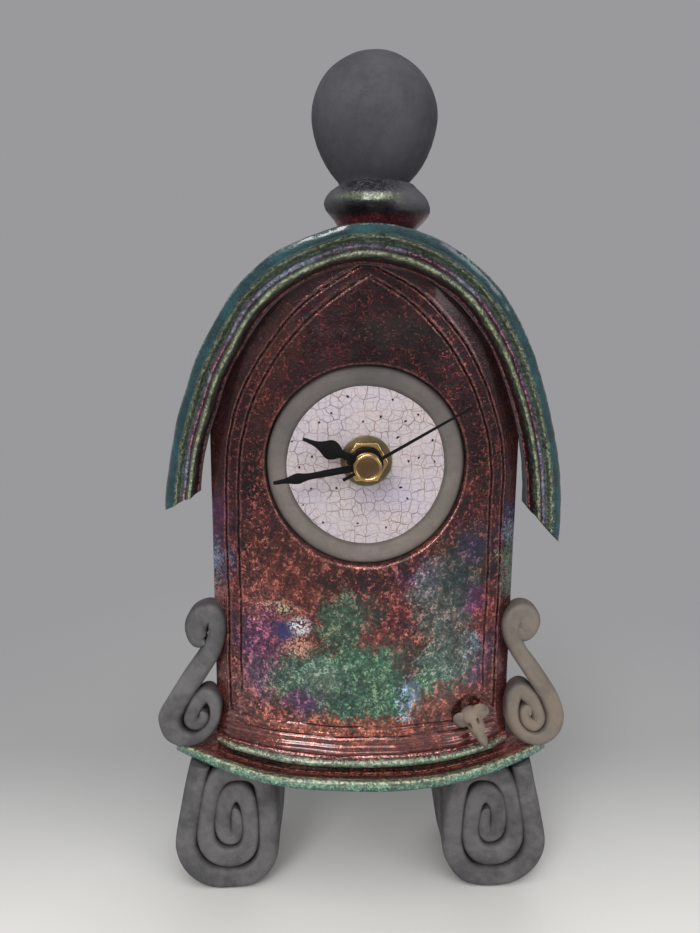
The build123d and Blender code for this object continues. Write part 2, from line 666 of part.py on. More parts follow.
def mouse(panel, plate):
    """Small head with a pointed snout and two round ears, trimmed where it lies on the case."""
    x, z = MOUSE_PLACE
    y = PANEL_FRONT + bow_drop(x, BOW_RADIUS) - MOUSE_SKULL + MOUSE_SINK
    tilt = Plane(origin=(x, y, z), x_dir=(-MOUSE_LEAN[2], 0, MOUSE_LEAN[0]), z_dir=MOUSE_LEAN)
    snout = Cone(MOUSE_CHEEK, MOUSE_NOSE, MOUSE_SNOUT, align=(Align.CENTER, Align.CENTER, Align.MIN))
    head = tilt * (Sphere(MOUSE_SKULL) + snout)
    for side in (-1, 1):
        place = Pos(side * MOUSE_EAR_SPREAD, MOUSE_EAR_BACK, -MOUSE_EAR_BACK)
        ear = place * Rot(90, side * MOUSE_EAR_TURN, 0) * Cylinder(MOUSE_EAR_RADIUS, MOUSE_EAR_THICKNESS)
        head += tilt * ear
    return (head - panel - plate).solids().sort_by(SortBy.VOLUME)[-1]


# Dial
def dial_ring():
    """Bare clay ring in the opening, with a rebate behind for the disc."""
    outside = DIAL_OPENING_RADIUS - SEAT_CLEARANCE
    shape = ring(DIAL_CENTRE, outside, RING_INNER_RADIUS, PANEL_FRONT, DIAL_BACK)
    shape &= bowed(PANEL_FRONT + RING_RECESS, BOW_RADIUS)
    rebate = rod(DIAL_CENTRE, DISC_RADIUS + SEAT_CLEARANCE, PANEL_FRONT, DIAL_BACK)
    return shape - (rebate & bowed(DISC_FRONT - SEAT_CLEARANCE, BOW_RADIUS))


def dial_disc():
    """White crackle disc, bowed in front and flat behind, drilled for the shaft."""
    shape = rod(DIAL_CENTRE, DISC_RADIUS, PANEL_FRONT, DIAL_BACK) & bowed(DISC_FRONT, BOW_RADIUS)
    return shape - rod(SHAFT, BUSHING_RADIUS + BUSHING_CLEARANCE, PANEL_FRONT, DIAL_BACK)


# Shaft fittings
def brass_washer():
    """Flat washer against the crown of the dial disc."""
    return ring(SHAFT, WASHER_RADIUS, BUSHING_RADIUS + BUSHING_CLEARANCE, WASHER_FRONT, DISC_FRONT)


def hex_nut():
    """Hexagon nut on the bushing."""
    hexagon = RegularPolygon(NUT_ACROSS_FLATS / 2, 6, major_radius=False)
    face = hexagon - Circle(BUSHING_RADIUS + HAND_FIT)
    return slab(at(SHAFT, face), NUT_FRONT, WASHER_FRONT)


def threaded_bushing():
    """Brass bushing that clamps the movement to the dial."""
    return ring(SHAFT, BUSHING_RADIUS, HOUR_TUBE_RADIUS + SHAFT_CLEARANCE, BUSHING_FRONT, CASE_INNER)


def rubber_gasket():
    """Soft washer between the movement and the back of the dial disc."""
    return ring(SHAFT, GASKET_RADIUS, BUSHING_RADIUS + BUSHING_CLEARANCE, DIAL_BACK, CASE_FRONT)


# Hands
def blade(length, stations):
    """Pointed hand outline along local Y from distances and half widths given as shares of its length."""
    right = [(half, reach * length) for reach, half in stations]
    left = [(-half, reach * length) for reach, half in stations][::-1]
    return make_face([Spline(*right), Line(right[-1], left[0]), Spline(*left), Line(left[-1], right[0])])


def hand(outline, hub, bore, angle, back):
    """Flat hand with a round hub and a boss behind, set clockwise from twelve by an angle."""
    front = back - HAND_BOSS
    turn = Rot(0, 0, -angle)
    flat = at(SHAFT, turn * (outline + Circle(hub)) - Circle(bore))
    boss = ring(SHAFT, (hub + bore) / 2, bore, front, back)
    return slab(flat, front, front + HAND_THICKNESS) + boss


def hour_hand():
    """Short hand with a full leaf shape."""
    neck = ((0.2, 1.25), (0.33, 1.2), (0.4, 1.3), (0.46, 2.2), (0.52, 2.9))
    leaf = ((0.58, 3.1), (0.65, 2.5), (0.72, 1.6), (0.8, 0.95), (0.9, 0.65), (1.0, 0.5))
    bore = HOUR_TUBE_RADIUS + HAND_FIT
    return hand(blade(HOUR_LENGTH, neck + leaf), HOUR_HUB_RADIUS, bore, HOUR_ANGLE, HOUR_HAND_BACK)


def minute_hand():
    """Long hand with a small leaf near its tip."""
    bar = ((0.08, 1.15), (0.3, 1.1), (0.5, 1.05), (0.63, 1.07), (0.69, 1.4))
    leaf = ((0.74, 1.68), (0.79, 1.45), (0.85, 0.95), (0.92, 0.68), (1.0, 0.5))
    bore = MINUTE_TUBE_RADIUS + HAND_FIT
    return hand(blade(MINUTE_LENGTH, bar + leaf), MINUTE_HUB_RADIUS, bore, MINUTE_ANGLE, MINUTE_HAND_BACK)


def second_hand():
    """Thin straight hand with a tail."""
    middle = (SECOND_LENGTH - SECOND_TAIL) / 2
    needle = Pos(0, middle, 0) * Rectangle(SECOND_WIDTH, SECOND_LENGTH + SECOND_TAIL)
    face = Rot(0, 0, -SECOND_ANGLE) * (needle + Circle(SECOND_HUB_RADIUS))
    face -= Circle(SECOND_ARBOR_RADIUS + HAND_FIT)
    return slab(at(SHAFT, face), CAP_BACK, SECOND_HAND_BACK)


def second_hand_cap():
    """Round brass cap with a shallow dish, pressed on the end of the second arbor."""
    cap = rod(SHAFT, CAP_RADIUS, CAP_FRONT, CAP_BACK)
    cap -= rod(SHAFT, CAP_RADIUS - CAP_LIP, CAP_FRONT, CAP_FRONT + CAP_DISH)
    return cap - rod(SHAFT, SECOND_ARBOR_RADIUS + HAND_FIT, SECOND_ARBOR_FRONT, CAP_BACK)


# Wheels
def gear(teeth, distance, mate, tooth_at):
    """Toothed outline for a wheel that runs at a distance from its mate, with a tooth at one direction."""
    tip = tip_radius(teeth, distance, mate)
    root = tip - 2 * distance / (teeth + mate) * (ADDENDUM + DEDENDUM)
    corners = (
        (root, -TOOTH_ROOT_SHARE),
        (tip, -TOOTH_TIP_SHARE),
        (tip, TOOTH_TIP_SHARE),
        (root, TOOTH_ROOT_SHARE),
    )
    points = []
    for tooth in range(teeth):
        for radius, share in corners:
            points.append(polar((0, 0), radius, tooth_at + (tooth + share) * 360 / teeth))
    return make_face(Polyline(*points, close=True))


def facing(teeth, direction):
    """Direction of a tooth that puts a gap towards the mate that looks along a direction."""
    return direction + 180 + 180 / teeth


def hour_wheel():
    """Wheel on the tube that carries the hour hand."""
    bore = MINUTE_TUBE_RADIUS + SHAFT_CLEARANCE
    teeth = gear(HOUR_TEETH, MOTION_DISTANCE, MINUTE_PINION_TEETH, MOTION_DIRECTION) - Circle(bore)
    wheel = slab(at(SHAFT, teeth), HOUR_LEVEL, HOUR_LEVEL + WHEEL_THICKNESS)
    return wheel + ring(SHAFT, HOUR_TUBE_RADIUS, bore, HOUR_TUBE_FRONT, HOUR_LEVEL)


def centre_wheel():
    """Wheel with the cannon pinion on the tube that carries the minute hand."""
    bore = SECOND_ARBOR_RADIUS + SHAFT_CLEARANCE
    teeth = gear(CENTRE_TEETH, THIRD_DISTANCE, THIRD_PINION_TEETH, THIRD_DIRECTION) - Circle(bore)
    cannon = gear(CANNON_TEETH, MOTION_DISTANCE, MINUTE_TEETH, MOTION_DIRECTION) - Circle(bore)
    wheel = slab(at(SHAFT, teeth), CENTRE_LEVEL, CENTRE_LEVEL + WHEEL_THICKNESS)
    wheel += slab(at(SHAFT, cannon), MOTION_LEVEL - PINION_OVERLAP, CENTRE_LEVEL)
    return wheel + ring(SHAFT, MINUTE_TUBE_RADIUS, bore, MINUTE_TUBE_FRONT, MOTION_LEVEL - PINION_OVERLAP)


def minute_wheel():
    """Wheel and pinion of the hand gearing, on the arbor that the setting knob turns."""
    wheel_teeth = gear(MINUTE_TEETH, MOTION_DISTANCE, CANNON_TEETH, facing(MINUTE_TEETH, MOTION_DIRECTION))
    tooth_at = facing(MINUTE_PINION_TEETH, MOTION_DIRECTION)
    pinion_teeth = gear(MINUTE_PINION_TEETH, MOTION_DISTANCE, HOUR_TEETH, tooth_at)
    wheel = slab(at(MOTION_AXIS, wheel_teeth), MOTION_LEVEL, MOTION_LEVEL + WHEEL_THICKNESS)
    wheel += slab(at(MOTION_AXIS, pinion_teeth), HOUR_LEVEL - PINION_OVERLAP, MOTION_LEVEL)
    return wheel + rod(MOTION_AXIS, MINUTE_ARBOR_RADIUS, FRONT_PIVOT, KNOB_MIDDLE)


def third_wheel():
    """Wheel and pinion between the second and centre wheels."""
    wheel_teeth = gear(THIRD_TEETH, THIRD_DISTANCE, SECOND_PINION_TEETH, facing(THIRD_TEETH, THIRD_DIRECTION))
    tooth_at = facing(THIRD_PINION_TEETH, THIRD_DIRECTION)
    pinion_teeth = gear(THIRD_PINION_TEETH, THIRD_DISTANCE, CENTRE_TEETH, tooth_at)
    pinion_back = CENTRE_LEVEL + WHEEL_THICKNESS + PINION_OVERLAP
    wheel = slab(at(THIRD_AXIS, wheel_teeth), THIRD_LEVEL, THIRD_LEVEL + WHEEL_THICKNESS)
    wheel += slab(at(THIRD_AXIS, pinion_teeth), CENTRE_LEVEL - PINION_OVERLAP, pinion_back)
    return wheel + arbor(THIRD_AXIS, FRONT_PIVOT)


def second_wheel():
    """Wheel and pinion on the long arbor that carries the second hand."""
    wheel_teeth = gear(SECOND_TEETH, FIFTH_DISTANCE, FIFTH_PINION_TEETH, FIFTH_DIRECTION)
    pinion_teeth = gear(SECOND_PINION_TEETH, THIRD_DISTANCE, THIRD_TEETH, THIRD_DIRECTION)
    wheel = slab(at(SHAFT, wheel_teeth), SECOND_LEVEL, SECOND_LEVEL + WHEEL_THICKNESS)
    wheel += slab(at(SHAFT, pinion_teeth), THIRD_LEVEL - PINION_OVERLAP, SECOND_LEVEL)
    return wheel + rod(SHAFT, SECOND_ARBOR_RADIUS, SECOND_ARBOR_FRONT, COVER_PIVOT)


def fifth_wheel():
    """Wheel and pinion between the rotor and the second wheel."""
    wheel_teeth = gear(FIFTH_TEETH, ROTOR_DISTANCE, ROTOR_PINION_TEETH, ROTOR_DIRECTION)
    tooth_at = facing(FIFTH_PINION_TEETH, FIFTH_DIRECTION)
    pinion_teeth = gear(FIFTH_PINION_TEETH, FIFTH_DISTANCE, SECOND_TEETH, tooth_at)
    wheel = slab(at(FIFTH_AXIS, wheel_teeth), FIFTH_LEVEL, FIFTH_LEVEL + WHEEL_THICKNESS)
    wheel += slab(at(FIFTH_AXIS, pinion_teeth), SECOND_LEVEL - PINION_OVERLAP, FIFTH_LEVEL)
    return wheel + arbor(FIFTH_AXIS, PLATE_PIVOT)


def rotor():
    """Magnet of the stepping motor, with its pinion."""
    tooth_at = facing(ROTOR_PINION_TEETH, ROTOR_DIRECTION)
    pinion_teeth = gear(ROTOR_PINION_TEETH, ROTOR_DISTANCE, FIFTH_TEETH, tooth_at)
    magnet_front = COIL_Y - MAGNET_THICKNESS / 2
    magnet_back = COIL_Y + MAGNET_THICKNESS / 2
    shape = rod(ROTOR_AXIS, MAGNET_RADIUS, magnet_front, magnet_back)
    shape += slab(at(ROTOR_AXIS, pinion_teeth), magnet_back, PINION_BACK)
    return shape + arbor(ROTOR_AXIS, PLATE_PIVOT)


def arbor(axis, front):
    """Thin arbor that ends in the rear cover."""
    return rod(axis, ARBOR_RADIUS, front, COVER_PIVOT)


def setting_knob():
    """Fluted knob behind the rear cover, on the minute wheel's arbor."""
    face = Circle(KNOB_RADIUS)
    for flute in range(KNOB_FLUTES):
        face -= at(polar((0, 0), KNOB_RADIUS, flute * 360 / KNOB_FLUTES), Circle(KNOB_FLUTE_RADIUS))
    knob = slab(at(MOTION_AXIS, face), KNOB_FRONT, KNOB_BACK)
    return knob - rod(MOTION_AXIS, MINUTE_ARBOR_RADIUS + HAND_FIT, KNOB_FRONT, KNOB_MIDDLE)


# Movement case and its fixed pieces
def movement_front_case():
    """Tray open at the back, with a bay for the cell, posts for the plate and stator, and pivot holes."""
    low, high = BAY_LOW - CASE_WALL, ROOM_TOP + CASE_WALL
    case = block(-MOVEMENT_HALF, MOVEMENT_HALF, low, high, CASE_FRONT, CASE_BACK)
    case -= block(-CASE_HALF, CASE_HALF, PARTITION_TOP, ROOM_TOP, CASE_INNER, CASE_BACK)
    case -= block(-CASE_HALF, CASE_HALF, BAY_LOW, BAY_TOP, CASE_INNER, CASE_BACK)
    case -= rod(SHAFT, BUSHING_RADIUS + HAND_FIT, CASE_FRONT, CASE_INNER)
    for x in (-POST_X, POST_X):
        for z in (POST_LOW, POST_HIGH):
            case += rod((x, z), POST_RADIUS, CASE_INNER, PLATE_LEVEL)
    for x in (LEG_LEFT, LEG_RIGHT):
        case += rod((x, CORE_Z), POST_RADIUS, CASE_INNER, STATOR_FRONT)
    for axis, radius in ((MOTION_AXIS, MINUTE_ARBOR_RADIUS), (THIRD_AXIS, ARBOR_RADIUS)):
        case -= rod(axis, radius + SHAFT_CLEARANCE, CASE_INNER - PIVOT_DEPTH, CASE_INNER)
    return case


def movement_rear_cover():
    """Lid over the wheels, with pivot holes inside and a hole for the setting arbor."""
    half = CASE_HALF - SEAT_CLEARANCE
    low, high = PARTITION_TOP + SEAT_CLEARANCE, ROOM_TOP - SEAT_CLEARANCE
    cover = block(-half, half, low, high, COVER_INNER, CASE_BACK)
    cover -= rod(MOTION_AXIS, MINUTE_ARBOR_RADIUS + SHAFT_CLEARANCE, COVER_INNER, CASE_BACK)
    cover -= rod(SHAFT, SECOND_ARBOR_RADIUS + SHAFT_CLEARANCE, COVER_INNER, COVER_INNER + PIVOT_DEPTH)
    for axis in (THIRD_AXIS, FIFTH_AXIS, ROTOR_AXIS):
        cover -= rod(axis, ARBOR_RADIUS + SHAFT_CLEARANCE, COVER_INNER, COVER_INNER + PIVOT_DEPTH)
    return cover


def train_plate():
    """Plate between the hand gearing and the fast wheels, with rests for the circuit board."""
    edge = POST_X + POST_RADIUS
    plate = block(-edge, edge, POST_LOW - POST_RADIUS, POST_HIGH + POST_RADIUS, PLATE_LEVEL, PLATE_BACK)
    holes = (
        (SHAFT, SECOND_ARBOR_RADIUS + SHAFT_CLEARANCE),
        (MOTION_AXIS, MINUTE_ARBOR_RADIUS + SHAFT_CLEARANCE),
        (THIRD_AXIS, ARBOR_RADIUS + ARBOR_ROOM),
    )
    for axis, radius in holes:
        plate -= rod(axis, radius, PLATE_LEVEL, PLATE_BACK)
    for axis in (FIFTH_AXIS, ROTOR_AXIS):
        plate -= rod(axis, ARBOR_RADIUS + SHAFT_CLEARANCE, PLATE_BACK - PIVOT_DEPTH, PLATE_BACK)
    for z in (BOARD_LOW + 2 * BOARD_REST_RADIUS, BOARD_HIGH - 2 * BOARD_REST_RADIUS):
        plate += rod((BOARD_MIDDLE, z), BOARD_REST_RADIUS, PLATE_BACK, FIFTH_LEVEL)
    return plate


def stator():
    """Flat iron loop: a bar with the rotor's bore, two legs and the core of the coil."""
    half = STATOR_HEIGHT / 2
    z = ROTOR_AXIS[1]
    shape = block(STATOR_LEFT, STATOR_RIGHT, z - half, z + half, STATOR_FRONT, STATOR_BACK)
    core_low, core_high = CORE_Z - CORE_HEIGHT / 2, CORE_Z + CORE_HEIGHT / 2
    for x in (LEG_LEFT, LEG_RIGHT):
        leg = STATOR_LEG / 2
        shape += block(x - leg, x + leg, z, core_high, STATOR_FRONT, STATOR_BACK)
    shape += block(LEG_LEFT, LEG_RIGHT, core_low, core_high, STATOR_FRONT, STATOR_BACK)
    return shape - rod(ROTOR_AXIS, MAGNET_RADIUS + STATOR_BORE_GAP, STATOR_FRONT, STATOR_BACK)


def along_x(radius, left, right, y, z):
    """Round bar across the movement."""
    return Pos((left + right) / 2, y, z) * Rot(0, 90, 0) * Cylinder(radius, right - left)


def coil_bobbin():
    """Spool with two flanges on the core of the stator."""
    spool = along_x(SPOOL_RADIUS, COIL_LEFT, COIL_RIGHT, COIL_Y, CORE_Z)
    spool += along_x(BOBBIN_FLANGE_RADIUS, COIL_LEFT, COIL_LEFT + BOBBIN_FLANGE, COIL_Y, CORE_Z)
    spool += along_x(BOBBIN_FLANGE_RADIUS, COIL_RIGHT - BOBBIN_FLANGE, COIL_RIGHT, COIL_Y, CORE_Z)
    low, high = CORE_Z - CORE_HEIGHT / 2 - HAND_FIT, CORE_Z + CORE_HEIGHT / 2 + HAND_FIT
    return spool - block(COIL_LEFT, COIL_RIGHT, low, high, STATOR_FRONT - HAND_FIT, STATOR_BACK + HAND_FIT)


def coil_winding():
    """Body of the fine wire between the flanges."""
    left, right = COIL_LEFT + BOBBIN_FLANGE, COIL_RIGHT - BOBBIN_FLANGE
    outer = along_x(WINDING_RADIUS, left, right, COIL_Y, CORE_Z)
    return outer - along_x(SPOOL_RADIUS, left, right, COIL_Y, CORE_Z)


def circuit_board():
    """Board along the left wall, on the rests of the train plate."""
    return block(BOARD_LEFT, BOARD_RIGHT, BOARD_LOW, BOARD_HIGH, FIFTH_LEVEL, BOARD_BACK)


def quartz_crystal():
    """Small can that lies on the circuit board."""
    can = Cylinder(CRYSTAL_RADIUS, CRYSTAL_LENGTH)
    return Pos(BOARD_MIDDLE, CRYSTAL_BACK - CRYSTAL_RADIUS, (BOARD_LOW + BOARD_HIGH) / 2) * can


def battery_cell():
    """AA cell across the bay, with its nub to the right."""
    cell = along_x(CELL_RADIUS, -CELL_HALF, CELL_HALF - CELL_NUB_LENGTH, CELL_Y, CELL_Z)
    return cell + along_x(CELL_NUB_RADIUS, CELL_HALF - CELL_NUB_LENGTH, CELL_HALF, CELL_Y, CELL_Z)


def battery_contact(side):
    """Sprung strip at one end of the bay."""
    half = CONTACT_HEIGHT / 2
    depth = CONTACT_WIDTH / 2
    inner = CASE_HALF - CONTACT_THICKNESS
    strip = block(inner, CASE_HALF, CELL_Z - half, CELL_Z + half, CELL_Y - depth, CELL_Y + depth)
    strip += along_x(CONTACT_BUMP_RADIUS, CELL_HALF + HAND_FIT, inner, CELL_Y, CELL_Z)
    return strip if side > 0 else mirror(strip, Plane.YZ)


def assembly():
    """Every piece by its name."""
    plate = base_plate()
    panel = front_panel()
    left_side = side_panel(-1)
    right_side = side_panel(1)
    return {
        "base_plate": plate,
        "front_panel": panel,
        "left_side_panel": left_side,
        "right_side_panel": right_side,
        "back_panel": back_panel(),
        "roof": roof(),
        "finial_collar": finial_collar(),
        "finial_ball": finial_ball(),
        "left_foot": foot(-1),
        "right_foot": foot(1),
        "left_scroll": scroll(-1, panel, left_side),
        "right_scroll": scroll(1, panel, right_side),
        "mouse": mouse(panel, plate),
        "dial_ring": dial_ring(),
        "dial_disc": dial_disc(),
        "brass_washer": brass_washer(),
        "hex_nut": hex_nut(),
        "threaded_bushing": threaded_bushing(),
        "rubber_gasket": rubber_gasket(),
        "hour_hand": hour_hand(),
        "minute_hand": minute_hand(),
        "second_hand": second_hand(),
        "second_hand_cap": second_hand_cap(),
        "hour_wheel": hour_wheel(),
        "centre_wheel": centre_wheel(),
        "minute_wheel": minute_wheel(),
        "third_wheel": third_wheel(),
        "second_wheel": second_wheel(),
        "fifth_wheel": fifth_wheel(),
        "rotor": rotor(),
        "setting_knob": setting_knob(),
        "movement_front_case": movement_front_case(),
        "movement_rear_cover": movement_rear_cover(),
        "train_plate": train_plate(),
        "stator": stator(),
        "coil_bobbin": coil_bobbin(),
        "coil_winding": coil_winding(),
        "circuit_board": circuit_board(),
        "quartz_crystal": quartz_crystal(),
        "battery_cell": battery_cell(),
        "left_battery_contact": battery_contact(-1),
        "right_battery_contact": battery_contact(1),
    }


os.makedirs("parts", exist_ok=True)
for name, shape in assembly().items():
    export_step(shape, f"parts/{name}.step")
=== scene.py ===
"""Raku mantel clock with a pointed arch: hand-built clay, fired glazes and a plain stage."""
import json
import math

import bpy
import numpy as np
from bpy.props import FloatProperty, FloatVectorProperty, PointerProperty
from mathutils import Matrix, Vector


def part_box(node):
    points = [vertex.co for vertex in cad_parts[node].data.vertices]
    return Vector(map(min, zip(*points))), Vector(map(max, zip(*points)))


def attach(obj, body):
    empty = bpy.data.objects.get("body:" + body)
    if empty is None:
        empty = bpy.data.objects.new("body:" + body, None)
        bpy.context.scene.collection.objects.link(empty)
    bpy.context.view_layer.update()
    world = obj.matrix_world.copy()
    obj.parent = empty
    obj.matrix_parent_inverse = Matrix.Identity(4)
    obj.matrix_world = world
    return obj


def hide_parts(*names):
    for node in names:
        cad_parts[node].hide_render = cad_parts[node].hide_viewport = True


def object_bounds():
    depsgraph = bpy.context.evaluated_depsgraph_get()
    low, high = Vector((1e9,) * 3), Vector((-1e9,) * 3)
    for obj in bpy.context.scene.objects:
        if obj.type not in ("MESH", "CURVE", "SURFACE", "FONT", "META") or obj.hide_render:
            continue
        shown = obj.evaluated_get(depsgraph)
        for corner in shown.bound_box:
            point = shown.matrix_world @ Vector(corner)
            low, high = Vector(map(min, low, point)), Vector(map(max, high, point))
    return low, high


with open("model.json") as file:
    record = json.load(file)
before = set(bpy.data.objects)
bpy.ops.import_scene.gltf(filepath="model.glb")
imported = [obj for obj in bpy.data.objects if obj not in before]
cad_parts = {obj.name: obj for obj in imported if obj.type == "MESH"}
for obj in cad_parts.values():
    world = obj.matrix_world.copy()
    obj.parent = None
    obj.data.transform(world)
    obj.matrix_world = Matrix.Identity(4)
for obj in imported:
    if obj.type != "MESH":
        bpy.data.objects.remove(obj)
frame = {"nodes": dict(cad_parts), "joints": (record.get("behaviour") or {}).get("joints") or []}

bl_info = {
    "name": "Raku Mantel Clock",
    "version": (1, 0, 0),
    "blender": (4, 5, 0),
    "location": "View3D > Sidebar > Clock",
    "description": "Models and glazes a hand-built raku mantel clock over its packed frame",
    "category": "Object",
}

# Shapes are worked out in millimetres and written to the meshes in metres.
MM = 0.001
MERGE = 0.002 * MM
CAD_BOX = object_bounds()


def box_mm(node):
    """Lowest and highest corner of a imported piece, in millimetres."""
    low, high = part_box(node)
    return np.array(low) / MM, np.array(high) / MM


CAD_LOW, CAD_HIGH = (np.array(corner) / MM for corner in CAD_BOX)
BASE_LOW, BASE_HIGH = box_mm("base_plate")
PANEL_LOW, PANEL_HIGH = box_mm("front_panel")
ROOF_LOW, ROOF_HIGH = box_mm("roof")
COLLAR_LOW, COLLAR_HIGH = box_mm("finial_collar")
BALL_LOW, BALL_HIGH = box_mm("finial_ball")
RING_LOW, RING_HIGH = box_mm("dial_ring")
DISC_LOW, DISC_HIGH = box_mm("dial_disc")

# The front of the clock is bowed about an upright axis.
BOW_RADIUS = 97.0
PANEL_FRONT = PANEL_LOW[1]
PANEL_FOOT = PANEL_LOW[2]
BODY_HALF_WIDTH = PANEL_HIGH[0]
BODY_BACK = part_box("back_panel")[1].y / MM
WALL = 6.0

# The roof is an arch of three arcs: a round crown and two long flanks.
ROOF_TOP = ROOF_HIGH[2]
CROWN_RADIUS = 51.9
FLANK_RADIUS = 126.1
CROWN_TURN = math.radians(53.5)
CROWN_HEIGHT = ROOF_TOP - CROWN_RADIUS
FLANK_SPREAD = FLANK_RADIUS - CROWN_RADIUS
FLANK_OFFSET = FLANK_SPREAD * math.sin(CROWN_TURN)
FLANK_HEIGHT = CROWN_HEIGHT - FLANK_SPREAD * math.cos(CROWN_TURN)
ROOF_SLAB = ROOF_TOP - PANEL_HIGH[2]
LEFT_TIP_LENGTH = 123.0
LEFT_TIP_SLOPE = math.radians(35)
RIGHT_TIP_LENGTH = 133.8
RIGHT_TIP_SLOPE = math.radians(48)

# Two cut lines follow a pointed arch on the front panel.
LINE_HALF_WIDTHS = (45.5, 41.2)
LINE_ARC_RADIUS = 79.3
LINE_PEAK = 218.9
LINE_FEET = (63.6, 67.2)
LINE_REACH = LINE_ARC_RADIUS - LINE_HALF_WIDTHS[0]
LINE_SPRING = LINE_PEAK - math.sqrt(LINE_ARC_RADIUS**2 - LINE_REACH**2)

DIAL_HEIGHT = (RING_LOW[2] + RING_HIGH[2]) / 2
OPENING_RADIUS = RING_HIGH[0] - 0.1
RING_INNER_RADIUS = 25.0
SHAFT_HEIGHT = next(j for j in frame["joints"] if j["name"] == "minute_turn")["pos_m"][2] / MM
# The panel flares forward at its foot, in a cove down to the base.
FLARE_TOP = PANEL_FOOT + 11.4
FLARE_REACH = 3.2
# Towards its corners the foot of the clock thins out from this distance off the middle.
CORNER_START = 44.0

MOUSE_HOLE = (35.7, 69.4)
MOUSE_HOLE_RADIUS = 5.2


def shade(red, green, blue):
    """A colour as it shows on screen, 0 to 255, made linear."""
    levels = [level / 255 for level in (red, green, blue)]
    return tuple(c / 12.92 if c < 0.04045 else ((c + 0.055) / 1.055) ** 2.4 for c in levels)


def opaque(colour):
    """A colour with full alpha, as node sockets take it."""
    return (*colour[:3], 1.0)


def tint(red, green, blue):
    """A colour as it shows on screen, 0 to 255, made linear and opaque."""
    return opaque(shade(red, green, blue))


def size_property(name, description, millimetres):
    """A length that a user would change."""
    length = {"default": millimetres * MM, "min": 0.0, "unit": "LENGTH", "precision": 4}
    return FloatProperty(name=name, description=description, **length)


def colour_property(name, description, *levels):
    """A colour that a user would change."""
    colour = {"default": shade(*levels), "subtype": "COLOR", "size": 3, "min": 0, "max": 1}
    return FloatVectorProperty(name=name, description=description, **colour)


def level_property(name, description, level, unit="NONE"):
    """A light's power or level that a user would change."""
    return FloatProperty(name=name, description=description, default=level, min=0.0, unit=unit)


class ClockSizes(bpy.types.PropertyGroup):
    """Sizes of the hand-made details."""

    line_width: size_property("Line width", "Width of the cut lines on the front panel", 0.62)
    line_depth: size_property("Line depth", "Depth of the cut lines on the front panel", 0.6)
    lip: size_property("Dial lip", "Rounding of the edge of the dial opening", 1.1)
    strip_round: size_property("Strip rounding", "Rounding of the rolled strips' edges", 2.5)
    wall_voxel: size_property("Wall detail", "Grid on which the wall slabs are softened", 1.1)


class ClockGlazes(bpy.types.PropertyGroup):
    """Colours of the glazes and clays."""

    maroon: colour_property("Maroon", "Dark reduced copper glaze", 76, 32, 41)
    soot: colour_property("Soot", "Blackened glaze", 30, 20, 25)
    red: colour_property("Red", "Red copper glaze", 122, 50, 54)
    copper: colour_property("Copper", "Copper lustre", 130, 69, 60)
    umber: colour_property("Umber", "Brown copper below the dial", 98, 54, 45)
    ember: colour_property("Ember", "Bright orange copper", 206, 122, 82)
    rose: colour_property("Rose", "Pale pink copper glints", 214, 156, 150)
    green: colour_property("Green", "Green cloud on the front", 68, 116, 92)
    sage: colour_property("Sage", "Grey green on the front", 100, 124, 118)
    blue: colour_property("Blue", "Deep blue lustre beside the bright patch", 44, 54, 104)
    sky: colour_property("Sky", "Pale blue streaks", 132, 162, 188)
    violet: colour_property("Violet", "Purple lustre", 100, 52, 104)
    gold: colour_property("Gold", "Yellow lustre", 170, 150, 84)
    teal: colour_property("Teal", "Teal of the roof's rim", 22, 62, 66)
    deep_teal: colour_property("Deep teal", "Thick teal glaze", 12, 40, 46)
    cream: colour_property("Cream", "Glaze broken thin on an edge", 150, 152, 126)
    olive: colour_property("Olive", "Thin olive glaze", 98, 104, 82)
    moss: colour_property("Moss", "Dark green of the slopes", 56, 70, 62)
    mint: colour_property("Mint", "Pale green of the base's ridge", 118, 138, 120)
    clay: colour_property("Clay", "Smoked bare clay", 95, 93, 94)
    clay_shade: colour_property("Clay shade", "Darker smoke on the clay", 68, 67, 70)
    warm_clay: colour_property("Warm clay", "Less smoked clay of the right scroll", 119, 107, 97)
    warm_shade: colour_property("Warm shade", "Smoke on the right scroll", 100, 94, 88)
    charcoal: colour_property("Charcoal", "Smoked clay of the ball", 68, 67, 72)
    charcoal_shade: colour_property("Charcoal shade", "Darker smoke on the ball", 59, 58, 63)
    ring: colour_property("Ring", "Olive grey clay of the dial ring", 115, 105, 99)
    mouse: colour_property("Mouse", "Taupe clay of the mouse", 122, 108, 97)
    crackle: colour_property("Crackle", "White glaze of the dial", 179, 168, 171)
    craze: colour_property("Craze", "Stained lines in the white glaze", 106, 80, 75)


class ClockStage(bpy.types.PropertyGroup):
    """Floor, background and light."""

    floor: colour_property("Floor", "Pale floor before the clock", 218, 217, 213)
    shaded_far_floor: colour_property("Far floor", "Floor behind the clock", 152, 152, 153)
    backdrop: colour_property("Backdrop", "Background beyond the floor", 154, 153, 156)
    top_power: level_property("Top light", "Power of the large overhead light", 5.2, "POWER")
    key_power: level_property("Key light", "Power of the front left light", 5.4, "POWER")
    fill_power: level_property("Fill light", "Power of the front right light", 2.6, "POWER")
    back_power: level_property("Back light", "Power of the light behind the clock", 5.5, "POWER")
    world_level: level_property("World", "Brightness of the surrounding light", 0.46)


def sizes():
    """The user's sizes."""
    return bpy.context.scene.clock_sizes


def glaze(name):
    """One of the user's colours, with full alpha."""
    return opaque(getattr(bpy.context.scene.clock_glazes, name))


# Plain number work.


def smoothstep(low, high, value):
    """0 below low, 1 above high and smooth between."""
    share = np.clip((value - low) / (high - low), 0, 1)
    return share * share * (3 - 2 * share)


def bow_drop(x):
    """How far the bowed front falls back at a distance from the middle."""
    return BOW_RADIUS - np.sqrt(BOW_RADIUS**2 - np.minimum(np.abs(x), 0.95 * BOW_RADIUS) ** 2)


